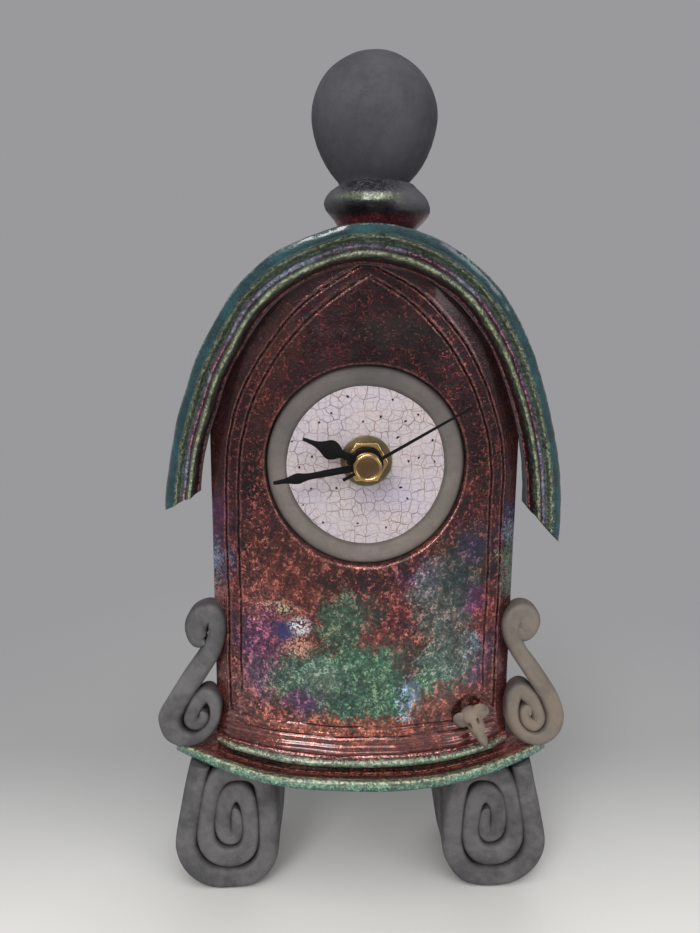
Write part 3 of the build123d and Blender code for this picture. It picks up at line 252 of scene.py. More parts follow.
# Hand wobble of each piece: its amount and the length of a wave, in millimetres, and its seed.
WOBBLES = {
    "front_panel": (0.2, 26.0, 3),
    "walls": (0.12, 30.0, 5),
    "base_rim": (0.22, 34.0, 11),
    "base_ridge": (0.22, 34.0, 12),
    "roof": (0.24, 36.0, 21),
    "roof_edges": (0.045, 5.0, 22),
    "finial_collar": (0.2, 14.0, 31),
    "finial_ball": (0.16, 20.0, 33),
    "left_foot": (0.3, 22.0, 41),
    "right_foot": (0.3, 22.0, 47),
    "left_scroll": (0.25, 16.0, 51),
    "right_scroll": (0.25, 16.0, 57),
    "mouse": (0.12, 6.0, 61),
    "dial_ring": (0.1, 18.0, 71),
}


def hand_wobble(points, part):
    """Points moved by the slow drift of hand-built clay."""
    amount, length, seed = WOBBLES[part]
    random = np.random.default_rng(seed)
    drift = np.zeros_like(points)
    for octave in range(3):
        waves = random.normal(size=(3, 3)) * (math.pi / length) * 1.7**octave
        drift += np.sin(points @ waves + random.uniform(0, 2 * math.pi, 3)) * amount / 1.9**octave
    return points + drift


def smooth_path(points, count):
    """An even path through points; columns after the first two, such as a thickness, are carried along."""
    points = np.array(points, float)
    padded = np.vstack([2 * points[0] - points[1], points, 2 * points[-1] - points[-2]])
    share = np.linspace(0, 1, 24, endpoint=False)[:, None]
    fine = []
    for first, second, third, fourth in zip(padded, padded[1:], padded[2:], padded[3:]):
        slope = (third - first) * share
        square = (2 * first - 5 * second + 4 * third - fourth) * share**2
        cube = (3 * second - first - 3 * third + fourth) * share**3
        fine.append(second + 0.5 * (slope + square + cube))
    fine = np.vstack([*fine, points[-1:]])
    lengths = np.concatenate([[0], np.cumsum(np.hypot(*np.diff(fine[:, :2], axis=0).T))])
    even = np.linspace(0, lengths[-1], count)
    return np.stack([np.interp(even, lengths, column) for column in fine.T], axis=1)


# Meshes, made with Blender's own operators.


def deselect_all():
    """Leaves edit mode and clears the selection."""
    active = bpy.context.view_layer.objects.active
    if active and active.mode != "OBJECT":
        bpy.ops.object.mode_set(mode="OBJECT")
    bpy.ops.object.select_all(action="DESELECT")


def pick(piece):
    """Makes a piece the only one selected, and the active one."""
    deselect_all()
    piece.select_set(True)
    bpy.context.view_layer.objects.active = piece


def edit_all(piece):
    """Opens a piece in edit mode with its whole mesh selected."""
    pick(piece)
    bpy.ops.object.mode_set(mode="EDIT")
    bpy.ops.mesh.select_all(action="SELECT")


def named(name):
    """The primitive just added, with its name."""
    piece = bpy.context.object
    piece.name = name
    piece.data.name = name
    return piece


def points_of(piece):
    """A mesh's points in metres."""
    flat = np.empty(len(piece.data.vertices) * 3, dtype=np.float32)
    piece.data.vertices.foreach_get("co", flat)
    return flat.reshape(-1, 3).astype(float)


def move_points(piece, points):
    """Puts a mesh's points where they belong, in metres."""
    piece.data.vertices.foreach_set("co", np.ascontiguousarray(points, dtype=np.float32).ravel())
    piece.data.update()


def paint_points(piece, name, values):
    """Keeps one number for each point, for the materials to read."""
    layer = piece.data.attributes.get(name) or piece.data.attributes.new(name, "FLOAT", "POINT")
    layer.data.foreach_set("value", np.ascontiguousarray(values, dtype=np.float32))


def close_up(piece, capped=False):
    """Merges the seams of a mesh, caps its open ends if asked, and turns its faces outwards."""
    pick(piece)
    bpy.ops.object.mode_set(mode="EDIT")
    bpy.ops.mesh.select_mode(type="VERT")
    bpy.ops.mesh.select_all(action="SELECT")
    bpy.ops.mesh.remove_doubles(threshold=MERGE)
    if capped:
        bpy.ops.mesh.fill_holes(sides=0)
    bpy.ops.mesh.delete_loose(use_verts=True, use_edges=True, use_faces=False)
    bpy.ops.mesh.select_all(action="SELECT")
    bpy.ops.mesh.normals_make_consistent(inside=False)
    bpy.ops.object.mode_set(mode="OBJECT")
    return piece


def lofted(name, rings, paint=None, capped=False):
    """A grid laid over rings of points, in millimetres, and closed round; paint has numbers for points."""
    count, around = rings.shape[:2]
    deselect_all()
    bpy.ops.mesh.primitive_grid_add(x_subdivisions=around, y_subdivisions=count - 1, size=1.0)
    piece = named(name)
    spots = points_of(piece)
    column = np.rint((spots[:, 0] + 0.5) * around).astype(int) % around
    row = np.rint((spots[:, 1] + 0.5) * (count - 1)).astype(int)
    move_points(piece, rings[row, column] * MM)
    for key, values in (paint or {}).items():
        paint_points(piece, key, np.broadcast_to(values, rings.shape[:2])[row, column])
    return close_up(piece, capped)


def turned(name, profile, centre, axis, steps=144):
    """A closed profile of (radius, along) points, in millimetres, spun about an axis through centre."""
    radius, along = np.array(profile, float).T
    turn = 2 * math.pi / steps * (np.arange(steps + 1) % steps)[:, None]
    right, aside = radius * np.cos(turn), radius * np.sin(turn)
    level = np.broadcast_to(along, right.shape)
    rings = (right, aside, level) if axis == "Z" else (right, level, aside)
    return lofted(name, np.stack(rings, axis=2) + centre)


def apply_modifier(piece, kind, **settings):
    """Adds one modifier and applies it."""
    pick(piece)
    modifier = piece.modifiers.new(kind.title(), kind)
    for key, value in settings.items():
        setattr(modifier, key, value)
    bpy.ops.object.modifier_apply(modifier=modifier.name)


def packed_copy(node, name):
    """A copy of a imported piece's mesh, merged, as a new piece."""
    piece = bpy.data.objects.new(name, frame["nodes"][node].data.copy())
    piece.data.name = name
    piece.data.materials.clear()
    bpy.context.scene.collection.objects.link(piece)
    edit_all(piece)
    bpy.ops.mesh.remove_doubles(threshold=MERGE)
    bpy.ops.object.mode_set(mode="OBJECT")
    return piece


def settle(piece, body, slot, finishes, *nodes, angle=40.0):
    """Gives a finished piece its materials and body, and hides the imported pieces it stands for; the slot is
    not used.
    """
    for finish in finishes:
        piece.data.materials.append(material(finish))
    pick(piece)
    bpy.ops.object.shade_smooth_by_angle(angle=math.radians(angle))
    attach(piece, body)
    if nodes:
        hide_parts(*nodes)


CAP_SIDES = 8


def paint_caps(piece, index):
    """Gives the many-sided end faces of a piece another of its materials."""
    for face in piece.data.polygons:
        if len(face.vertices) > CAP_SIDES:
            face.material_index = index


# Shader nodes.

ORIGIN = (0.0, 0.0, 0.0)
HALF = (0.5, 0.5, 0.5)
WHITE = (1.0, 1.0, 1.0, 1.0)
MATT = (0.7, 0.7, 0.7, 1.0)


class Nodes:
    """Places nodes in one tree and joins them; a value is a number, a colour or another node's socket."""

    def __init__(self, tree):
        self.tree = tree

    def feed(self, socket, value):
        if isinstance(value, bpy.types.NodeSocket):
            self.tree.links.new(value, socket)
        else:
            socket.default_value = value

    def add(self, kind, values=None, **settings):
        node = self.tree.nodes.new("ShaderNode" + kind)
        for name, setting in settings.items():
            setattr(node, name, setting)
        for socket, value in (values or {}).items():
            self.feed(node.inputs[socket], value)
        return node

    def group(self, tree, values):
        node = self.tree.nodes.new("ShaderNodeGroup")
        node.node_tree = tree
        for socket, value in values.items():
            self.feed(node.inputs[socket], value)
        return node.outputs

    def math(self, operation, first, second=0.0, clamp=False):
        return self.add("Math", {0: first, 1: second}, operation=operation, use_clamp=clamp).outputs[0]

    def times(self, first, second, clamp=False):
        return self.math("MULTIPLY", first, second, clamp)

    def over(self, first, second):
        return self.math("DIVIDE", first, second)

    def plus(self, first, second):
        return self.math("ADD", first, second)

    def minus(self, first, second, clamp=False):
        return self.math("SUBTRACT", first, second, clamp)

    def larger(self, first, second):
        return self.math("MAXIMUM", first, second)

    def vector(self, operation, first, second):
        return self.add("VectorMath", {0: first, 1: second}, operation=operation).outputs[0]

    def scaled(self, vector, factors):
        return self.vector("MULTIPLY", vector, factors)

    def length(self, vector):
        return self.add("VectorMath", {0: vector}, operation="LENGTH").outputs["Value"]

    def part(self, vector, axis):
        return self.add("SeparateXYZ", {0: vector}).outputs[axis]

    def channel(self, colour, index):
        return self.add("SeparateColor", {0: colour}).outputs[index]

    def noise(self, vector, scale, detail=4.0, roughness=0.55, distortion=0.0, output="Fac"):
        values = {"Vector": vector, "Scale": scale, "Detail": detail}
        values.update({"Roughness": roughness, "Distortion": distortion})
        return self.add("TexNoise", values).outputs[output]

    def cells(self, vector, scale):
        return self.add("TexVoronoi", {"Vector": vector, "Scale": scale}).outputs

    def between(self, value, low, high, start=0.0, end=1.0):
        values = {"Value": value, "From Min": low, "From Max": high, "To Min": start, "To Max": end}
        return self.add("MapRange", values, interpolation_type="SMOOTHSTEP").outputs[0]

    def spread(self, share, start, end):
        return self.between(share, 0.0, 1.0, start, end)

    def mix(self, factor, first, second, blend="MIX"):
        node = self.add("Mix", data_type="RGBA", blend_type=blend)
        for index, value in ((0, factor), (6, first), (7, second)):
            self.feed(node.inputs[index], value)
        return node.outputs[2]

    def ramp(self, factor, stops):
        node = self.add("ValToRGB", {"Fac": factor})
        elements = node.color_ramp.elements
        while len(elements) < len(stops):
            elements.new(1.0)
        for element, (position, colour) in zip(elements, stops):
            element.position = position
            element.color = colour if isinstance(colour, tuple) else (colour, colour, colour, 1.0)
        return node.outputs["Color"]

    def attribute(self, name):
        return self.add("Attribute", attribute_name=name).outputs["Fac"]

    def bump(self, height, millimetres, strength=1.0):
        values = {"Height": height, "Distance": millimetres * MM, "Strength": strength}
        return self.add("Bump", values).outputs["Normal"]


def fresh_nodes(holder):
    """The emptied node tree of a material or a world."""
    holder.use_nodes = True
    holder.node_tree.nodes.clear()
    return Nodes(holder.node_tree)


def shader_group(name, inputs, outputs, build):
    """A shader node group, built once; inputs are names with defaults, outputs names with socket kinds."""
    if name in bpy.data.node_groups:
        return bpy.data.node_groups[name]
    tree = bpy.data.node_groups.new(name, "ShaderNodeTree")
    for socket, value in inputs.items():
        kind = "Float" if isinstance(value, float) else ("Vector" if len(value) == 3 else "Color")
        made = tree.interface.new_socket(name=socket, in_out="INPUT", socket_type="NodeSocket" + kind)
        made.default_value = value
    for socket, kind in outputs.items():
        tree.interface.new_socket(name=socket, in_out="OUTPUT", socket_type="NodeSocket" + kind)
    nodes = Nodes(tree)
    enter = tree.nodes.new("NodeGroupInput")
    leave = tree.nodes.new("NodeGroupOutput")
    for socket, value in build(nodes, enter.outputs).items():
        tree.links.new(value, leave.inputs[socket])
    return tree


def clay_group():
    """Smoked clay: cloudy colour, grog specks, pits and a fine grain. Places are in millimetres."""

    def build(nodes, given):
        place = given["Vector"]
        cloud = nodes.noise(place, 0.07, 5.0, 0.6, 0.4)
        smudge = nodes.noise(place, 0.32, 4.0, 0.6)
        grain = nodes.noise(place, 3.2, 3.0, 0.6)
        cells = nodes.cells(place, 1.05)
        near = nodes.between(cells["Distance"], 0.20, 0.08)
        chosen = nodes.math("GREATER_THAN", nodes.channel(cells["Color"], 0), 0.72)
        speck = nodes.times(near, chosen)
        pit_cells = nodes.cells(place, 0.55)
        pit = nodes.between(pit_cells["Distance"], 0.16, 0.05)
        blend = nodes.plus(nodes.between(cloud, 0.36, 0.66), nodes.times(nodes.minus(smudge, 0.5), 0.9))
        blend = nodes.math("MINIMUM", nodes.larger(blend, 0.0), 1.0)
        colour = nodes.mix(blend, given["Body"], given["Shade"])
        colour = nodes.mix(nodes.times(nodes.minus(grain, 0.5), 0.35, True), colour, given["Pale"])
        colour = nodes.mix(nodes.times(speck, 0.7), colour, given["Speck"])
        height = nodes.plus(nodes.times(grain, 0.5), nodes.times(smudge, 0.6))
        height = nodes.minus(height, nodes.times(pit, 0.5))
        return {"Color": colour, "Roughness": nodes.between(smudge, 0.3, 0.7, 0.62, 0.86), "Height": height}

    inputs = {"Vector": ORIGIN, "Body": glaze("clay"), "Shade": glaze("clay_shade")}
    inputs.update({"Pale": glaze("cream"), "Speck": glaze("soot")})
    outputs = {"Color": "Color", "Roughness": "Float", "Height": "Float"}
    return shader_group("Smoked clay", inputs, outputs, build)


def patch_group():
    """A soft ragged patch round a place on the front, in millimetres."""

    def build(nodes, given):
        away = nodes.vector("SUBTRACT", given["Vector"], given["Centre"])
        away = nodes.vector("DIVIDE", away, given["Radii"])
        distance = nodes.length(away)
        torn = nodes.minus(nodes.noise(given["Vector"], 0.15, 8.0, 0.72, 0.7), 0.5)
        distance = nodes.plus(distance, nodes.times(torn, given["Ragged"]))
        return {"Mask": nodes.between(distance, 1.5, 0.35)}

    inputs = {"Vector": ORIGIN, "Centre": ORIGIN, "Radii": (1.0, 1.0, 1.0), "Ragged": 1.4}
    return shader_group("Soft patch", inputs, {"Mask": "Float"}, build)


def grain_group():
    """Metal grains of a reduced glaze: a tone, a height and a scatter, so that grains swap colours."""

    def build(nodes, given):
        place = given["Vector"]
        coarse = nodes.cells(place, given["Scale"])
        fine = nodes.cells(place, nodes.times(given["Scale"], 2.1))
        cloud = nodes.noise(place, nodes.times(given["Scale"], 0.35), 3.0, 0.65)
        first = nodes.times(nodes.channel(coarse["Color"], 0), 0.48)
        second = nodes.times(nodes.channel(fine["Color"], 1), 0.28)
        third = nodes.times(nodes.between(cloud, 0.28, 0.72), 0.24)
        tone = nodes.plus(nodes.plus(first, second), third)
        height = nodes.minus(tone, nodes.times(coarse["Distance"], 0.5))
        scatter = nodes.vector("SUBTRACT", coarse["Color"], HALF)
        return {"Tone": tone, "Height": height, "Scatter": scatter}

    outputs = {"Tone": "Float", "Height": "Float", "Scatter": "Vector"}
    return shader_group("Lustre grains", {"Vector": ORIGIN, "Scale": 1.3}, outputs, build)


def wear_group():
    """Fine handling marks for metal, paint and moulded plastic."""

    def build(nodes, given):
        place = given["Vector"]
        smear = nodes.noise(place, given["Scale"], 5.0, 0.65)
        grain = nodes.noise(nodes.scaled(place, (1.0, 1.0, 6.0)), nodes.times(given["Scale"], 9.0), 2.0)
        mark = nodes.plus(nodes.times(smear, 0.7), nodes.times(grain, 0.3))
        return {"Mask": nodes.between(mark, 0.3, 0.7), "Height": grain}

    inputs = {"Vector": ORIGIN, "Scale": 0.4}
    return shader_group("Handling marks", inputs, {"Mask": "Float", "Height": "Float"}, build)


def line_group():
    """A broken line along a band: a mask where a number that runs across the band is near a value."""

    def build(nodes, given):
        stray = nodes.minus(nodes.noise(given["Vector"], 0.5, 5.0, 0.7), 0.5)
        off = nodes.minus(nodes.plus(given["Across"], nodes.times(stray, given["Break"])), given["Centre"])
        share = nodes.over(nodes.math("ABSOLUTE", off), given["Width"])
        return {"Mask": nodes.between(share, 1.15, 0.45)}

    inputs = {"Vector": ORIGIN, "Across": 0.0, "Centre": 0.0, "Width": 0.5, "Break": 0.8}
    return shader_group("Broken line", inputs, {"Mask": "Float"}, build)


# Finishes. Each gives the values of the Principled shader's sockets from a place in millimetres.


THROUGH = 1000.0
LUSTRE_GRAIN = 1.5
BAND_GRAIN = 1.7
# Heights between which the body's glaze turns from maroon to bright, and its foot glossy.
LUSTRE_HEIGHTS = (190.0, 104.0)
GLOSS_HEIGHTS = (72.0, 64.0)


def patch(nodes, place, x, z, wide, tall, ragged):
    """A ragged patch on the front, which reaches through the whole depth of the clock."""
    values = {"Vector": place, "Centre": (x, 0.0, z), "Radii": (wide, THROUGH, tall), "Ragged": ragged}
    return nodes.group(patch_group(), values)["Mask"]


def bare_clay(nodes, mm, body, shadow, pale="cream"):
    """Smoked clay in three of the user's colours."""
    tints = {"Body": glaze(body), "Shade": glaze(shadow), "Pale": glaze(pale)}
    return nodes.group(clay_group(), {"Vector": mm, **tints})


def clay_finish(body, shadow, pale="cream", seam=None):
    """A finish of bare clay, darkened by painted shade where the recess number painted on its points is high.
    """

    def build(nodes, mm):
        clay = bare_clay(nodes, mm, body, shadow, pale)
        colour = clay["Color"]
        if seam:
            # painted shade in the grooves between coils, the gaps round the dial ring and the mouse's eye
            # pits
            ragged = nodes.between(nodes.noise(mm, 0.4), 0.2, 0.6, 0.7, 1.0)
            dark = nodes.times(nodes.times(nodes.attribute(seam), ragged), 0.68)
            colour = nodes.mix(dark, colour, glaze("soot"))
        return {
            "Base Color": colour,
            "Roughness": clay["Roughness"],
            "Normal": nodes.bump(clay["Height"], 0.22),
            "Specular IOR Level": 0.3,
        }

    return build


def ring_clay(nodes, mm):
    """Bare clay of the dial ring, with painted shadow darkening it towards its top, under the lip of the
    opening.
    """
    finish = clay_finish("ring", "warm_shade", "warm_clay", seam="seam")(nodes, mm)
    height = nodes.part(mm, 2)
    # painted shadow: the ring turns towards charcoal at its top
    smoke = nodes.between(height, DIAL_HEIGHT - 30.0, DIAL_HEIGHT + 30.0, 0.0, 0.5)
    finish["Base Color"] = nodes.mix(smoke, finish["Base Color"], glaze("charcoal"))
    return finish


PATCHES = (
    # colour, middle x and z, half width and half height, strength
    ("umber", -20, 122, 22, 12, 0.7),
    ("copper", -29, 106, 14, 17, 0.8),
    ("rose", -31, 103, 10, 12, 0.12),
    ("copper", 2, 115, 16, 7, 0.25),
    ("soot", 2, 118, 20, 5, 0.5),
    ("umber", -26, 194, 6, 12, 0.6),
    ("copper", -31, 178, 5, 16, 0.3),
    ("moss", 9, 198, 11, 6, 0.3),
    ("soot", 10, 187, 18, 9, 0.3),
    ("violet", -34, 90, 8, 17, 0.7),
    ("blue", -33, 84, 5, 6, 0.5),
    ("rose", -36, 80, 8, 12, 0.12),
    ("violet", 22, 118, 11, 7, 0.65),
    ("moss", -4, 106, 12, 10, 0.7),
    ("green", -7, 104, 8, 9, 0.6),
    ("sage", 27, 112, 13, 15, 0.65),
    ("moss", 33, 124, 10, 12, 0.6),
    ("teal", 31, 117, 8, 9, 0.4),
    ("green", 2, 83, 34, 14, 0.95),
    ("sage", -16, 85, 10, 6, 0.5),
    ("teal", -9, 78, 13, 7, 0.4),
    ("green", 25, 85, 12, 8, 0.5),
    ("sage", 31, 89, 10, 11, 0.7),
    ("red", 3, 99, 4.5, 5.5, 0.7),
    ("red", 13, 108, 5, 6, 0.5),
    ("maroon", 15, 89, 4, 8, 0.75),
    ("red", 41, 104, 4.5, 12, 0.8),
    ("violet", 37, 110, 4, 6, 0.75),
    ("violet", 40, 82, 5, 6, 0.6),
    ("violet", -20, 75, 8, 3.5, 0.7),
    ("blue", 36, 128, 7, 5, 0.4),
    ("blue", 44, 92, 4, 7, 0.35),
    ("blue", -41, 97, 4, 9, 0.35),
    ("sky", 15, 77, 2.4, 8, 0.75),
    # Painted highlight: a pale green spot at the left of the green cloud.
    ("mint", -15, 83, 5, 3.5, 0.6),
    ("sky", 38.5, 93, 2.5, 2.5, 0.6),
    ("copper", 31, 75, 15, 6, 0.8),
    ("copper", 0, 64, 54, 6.5, 0.85),
    # Painted highlight: a bright copper streak along the cove of the panel's foot.
    ("ember", -6, 65, 24, 2.6, 0.5),
    ("violet", -48.5, 138, 3.4, 9, 0.9),
    ("blue", -48.5, 122, 4, 10, 0.7),
    ("sky", -49.2, 122, 2.6, 8, 0.95),
    ("rose", -48.6, 108, 3, 6, 0.6),
    ("blue", 48.5, 135, 3.6, 9, 0.8),
    ("sky", 49.2, 131, 2.2, 6, 0.8),
    ("green", 48.8, 119, 3.2, 11, 0.9),
    ("mint", 48.4, 116, 1.6, 8, 0.7),
)
CALM_GLAZES = ("green", "sage", "moss", "teal")
# Painted highlight: a lamp's reflection in a small swell of the glaze, white on the brighter grains, with the
# lustre's own colours round it.
GLINT_PLACES = (
    # colour, middle x and z, half width and half height, share of white, darkest grain that takes it
    ("gold", -27, 108, 5.0, 2.0, 0.3, 0.54),
    ("blue", -26.0, 100, 4.2, 4.0, 0.0, 0.30),
    ("ember", -22, 95, 4.6, 3.4, 0.2, 0.48),
    ("sky", -21.2, 102.0, 3.3, 2.9, 0.8, 0.44),
)
# Brightness of the grains by their tone: low on the front, high on it, and on the calm greens. This is the
# grains' own tone with painted glints on the brightest, and low on the front the brighter grains are partly a
# painted reflection of the pale floor.
SPARKLE_TONES = (0.14, 0.34, 0.52, 0.68, 0.84)
SPARKLE_LOW = (0.12, 0.36, 0.80, 1.4, 3.0)
SPARKLE_HIGH = (0.12, 0.24, 0.44, 0.82, 2.10)
SPARKLE_CALM = (0.36, 0.58, 0.92, 1.5, 3.2)


def copper_lustre(nodes, mm):
    """The reduced copper glaze of the body: maroon above, clouded copper and green below, in metal grains."""
    grains = nodes.group(grain_group(), {"Vector": mm, "Scale": LUSTRE_GRAIN})
    height = nodes.part(mm, 2)
    low = nodes.between(height, *LUSTRE_HEIGHTS)
    drift = nodes.vector("SUBTRACT", nodes.noise(mm, 0.20, 6.0, 0.66, output="Color"), HALF)
    strewn = nodes.vector("ADD", mm, nodes.scaled(grains["Scatter"], (4.5, 4.5, 4.5)))
    strewn = nodes.vector("ADD", strewn, nodes.scaled(drift, (14.0, 14.0, 18.0)))
    cluster = nodes.noise(nodes.scaled(mm, (1.0, 1.0, 0.7)), 0.36, 7.0, 0.72, 0.4)
    cloud = nodes.noise(strewn, 0.10, 7.0, 0.66, 0.5)
    warm = nodes.noise(strewn, 0.17, 6.0, 0.68, 0.3)
    colour = nodes.mix(nodes.between(cloud, 0.40, 0.62), glaze("soot"), glaze("maroon"))
    heat = nodes.plus(warm, nodes.times(low, 0.10))
    colour = nodes.mix(nodes.between(heat, 0.50, 0.74), colour, glaze("copper"))
    calm = 0.0
    for name, x, z, wide, tall, strength in PATCHES:
        mask = nodes.between(patch(nodes, strewn, x, z, wide, tall, 1.0), 0.15, 0.75, 0.0, strength)
        colour = nodes.mix(mask, colour, glaze(name))
        if name in CALM_GLAZES:
            calm = nodes.larger(calm, mask)
    bloom = nodes.between(nodes.noise(strewn, 0.22, 5.0, 0.7), 0.54, 0.72)
    bloom = nodes.times(bloom, nodes.spread(low, 0.15, 0.65))
    colour = nodes.mix(bloom, colour, glaze("violet"))
    hue = nodes.noise(strewn, 0.30, 4.0, 0.6)
    colour = nodes.mix(nodes.times(nodes.between(hue, 0.56, 0.72, 0.0, 0.5), low), colour, glaze("umber"))
    colour = nodes.mix(nodes.times(nodes.between(hue, 0.44, 0.30, 0.0, 0.55), low), colour, glaze("maroon"))
    embers = nodes.between(nodes.noise(strewn, 0.42, 5.0, 0.7), 0.54, 0.68, 0.0, 0.32)
    embers = nodes.times(embers, nodes.between(warm, 0.46, 0.58))
    colour = nodes.mix(nodes.times(embers, low), colour, glaze("ember"))
    clump = nodes.times(nodes.between(cluster, 0.24, 0.76, -0.40, 0.40), nodes.spread(low, 0.45, 1.0))
    tone = nodes.plus(nodes.times(grains["Tone"], 0.9), nodes.plus(clump, 0.05))
    border = nodes.attribute("border")
    tone = nodes.plus(tone, nodes.times(nodes.times(nodes.minus(0.5, tone), border), 0.4))
    colour = nodes.mix(nodes.times(border, 0.25), colour, nodes.mix(0.4, glaze("maroon"), glaze("copper")))
    metal = nodes.times(nodes.between(tone, 0.54, 0.74, 0.0, 0.35), nodes.minus(1.0, calm))
    colour = nodes.mix(nodes.times(metal, nodes.spread(low, 0.6, 0.3)), colour, glaze("copper"))
    bright = nodes.ramp(tone, tuple(zip(SPARKLE_TONES, SPARKLE_LOW)))
    gentle = nodes.ramp(tone, tuple(zip(SPARKLE_TONES, SPARKLE_HIGH)))
    soft = nodes.ramp(tone, tuple(zip(SPARKLE_TONES, SPARKLE_CALM)))
    grain_tone_and_glint = nodes.mix(nodes.times(calm, 0.65), nodes.mix(low, gentle, bright), soft)
    colour = nodes.mix(1.0, colour, grain_tone_and_glint, "MULTIPLY")
    lively = nodes.minus(low, nodes.times(calm, 0.6), True)
    # painted glints: the brightest grains lightened towards pale copper
    pale = nodes.times(nodes.between(tone, 0.66, 0.86, 0.0, 0.5), lively)
    colour = nodes.mix(pale, colour, nodes.mix(0.5, glaze("ember"), glaze("rose")))
    # painted highlight and its lustre fringe, on the brighter grains
    for name, x, z, wide, tall, white, darkest in GLINT_PLACES:
        lit = nodes.between(grains["Tone"], darkest, darkest + 0.1)
        mask = nodes.times(patch(nodes, mm, x, z, wide, tall, 1.6), lit)
        colour = nodes.mix(mask, colour, nodes.mix(white, glaze(name), WHITE))
    colour = nodes.mix(nodes.times(nodes.attribute("groove"), 0.8), colour, glaze("soot"))
    # painted highlights: pale copper on the raised burrs of the cut lines and round the dial opening's lip
    burr = nodes.times(nodes.attribute("burr"), nodes.between(tone, 0.36, 0.62, 0.1, 0.7))
    colour = nodes.mix(burr, colour, nodes.mix(0.35, glaze("copper"), glaze("rose")))
    relief = nodes.plus(grains["Height"], nodes.times(nodes.noise(mm, 0.25, 3.0), 2.5))
    foot = nodes.larger(nodes.between(height, *GLOSS_HEIGHTS), nodes.times(border, 0.6))
    rough = nodes.between(tone, 0.2, 0.8, 0.46, 0.24)
    rough = nodes.times(rough, nodes.spread(foot, 1.0, 0.45))
    gloss = nodes.times(nodes.between(cloud, 0.35, 0.7, 0.15, 0.6), nodes.spread(low, 0.3, 1.0))
    inside = nodes.attribute("inside")
    outside = nodes.minus(1.0, inside)
    clay = bare_clay(nodes, mm, "clay_shade", "charcoal_shade")
    return {
        "Base Color": nodes.mix(inside, colour, clay["Color"]),
        "Metallic": nodes.times(nodes.between(tone, 0.25, 0.7, 0.4, 0.8), outside),
        "Roughness": nodes.mix(inside, rough, clay["Roughness"]),
        "Coat Weight": nodes.times(nodes.larger(gloss, foot), outside),
        "Coat Roughness": 0.12,
        "Normal": nodes.bump(relief, 0.14, 0.8),
    }


def banded_glaze(nodes, mm, run, width, bands, lines, scatter):
    """Bands of glaze by the place across a moulding, in millimetres, with stray grains and broken lines."""
    grains = nodes.group(grain_group(), {"Vector": mm, "Scale": BAND_GRAIN})
    stray = nodes.times(nodes.minus(nodes.noise(mm, 0.28, 6.0, 0.68), 0.5), 1.1)
    strewn = nodes.times(nodes.part(grains["Scatter"], 1), scatter)
    across = nodes.plus(nodes.plus(run, stray), strewn)
    colour = nodes.ramp(nodes.over(across, width), [(at / width, glaze(name)) for at, name in bands])
    uneven = nodes.noise(mm, 0.22, 6.0, 0.7, 0.5)
    colour = nodes.mix(nodes.between(uneven, 0.5, 0.68, 0.0, 0.45), colour, glaze("moss"))
    colour = nodes.mix(1.0, colour, nodes.ramp(uneven, ((0.28, 1.6), (0.5, 0.95), (0.72, 0.40))), "MULTIPLY")
    for centre, half, name, strength in lines:
        values = {"Vector": mm, "Across": run, "Centre": centre, "Width": half, "Break": 1.0}
        line = nodes.group(line_group(), values)["Mask"]
        line = nodes.times(line, nodes.between(grains["Tone"], 0.32, 0.62, 0.05, strength))
        colour = nodes.mix(line, colour, glaze(name))
    return grains, nodes.over(nodes.plus(run, stray), width), colour


ROOF_BANDS = (
    (0.0, "teal"), (3.2, "teal"), (3.7, "olive"), (4.3, "moss"), (5.5, "moss"), (6.1, "violet"),
    (6.6, "maroon"), (7.2, "moss"), (7.8, "olive"), (8.7, "olive"), (9.2, "moss"), (9.6, "soot"),
    (10.3, "maroon"), (11.3, "maroon"),
)
ROOF_LINES = (
    # place across, half width, colour, strength
    (0.35, 0.25, "cream", 0.45),
    (3.8, 0.28, "cream", 0.7),
    (5.0, 0.25, "olive", 0.5),
    # Painted highlight: a pink line in the groove.
    (6.2, 0.28, "rose", 0.5),
    (8.3, 0.50, "cream", 0.45),
    # Painted highlight: a pink line along the inner edge of the cove.
    (10.5, 0.22, "rose", 0.35),
)
# Over the roof's width: roughness and metal by the share across, and brightness by the grains' tone.
ROOF_WIDTH = 11.3
ROOF_ROUGHNESS = (
    (0.0, 0.26), (0.29, 0.24), (0.35, 0.7), (0.44, 0.46), (0.55, 0.3), (0.66, 0.5), (0.75, 0.75),
    (0.85, 0.36), (1.0, 0.28),
)
ROOF_METAL = (
    (0.0, 0.0), (0.48, 0.1), (0.57, 0.6), (0.62, 0.3), (0.68, 0.0), (0.80, 0.0), (0.88, 0.5), (1.0, 0.7),
)
ROOF_DAPPLE = ((0.12, 0.3), (0.35, 0.7), (0.5, 0.95), (0.82, 1.8))
ROOF_GROOVE = 6.2


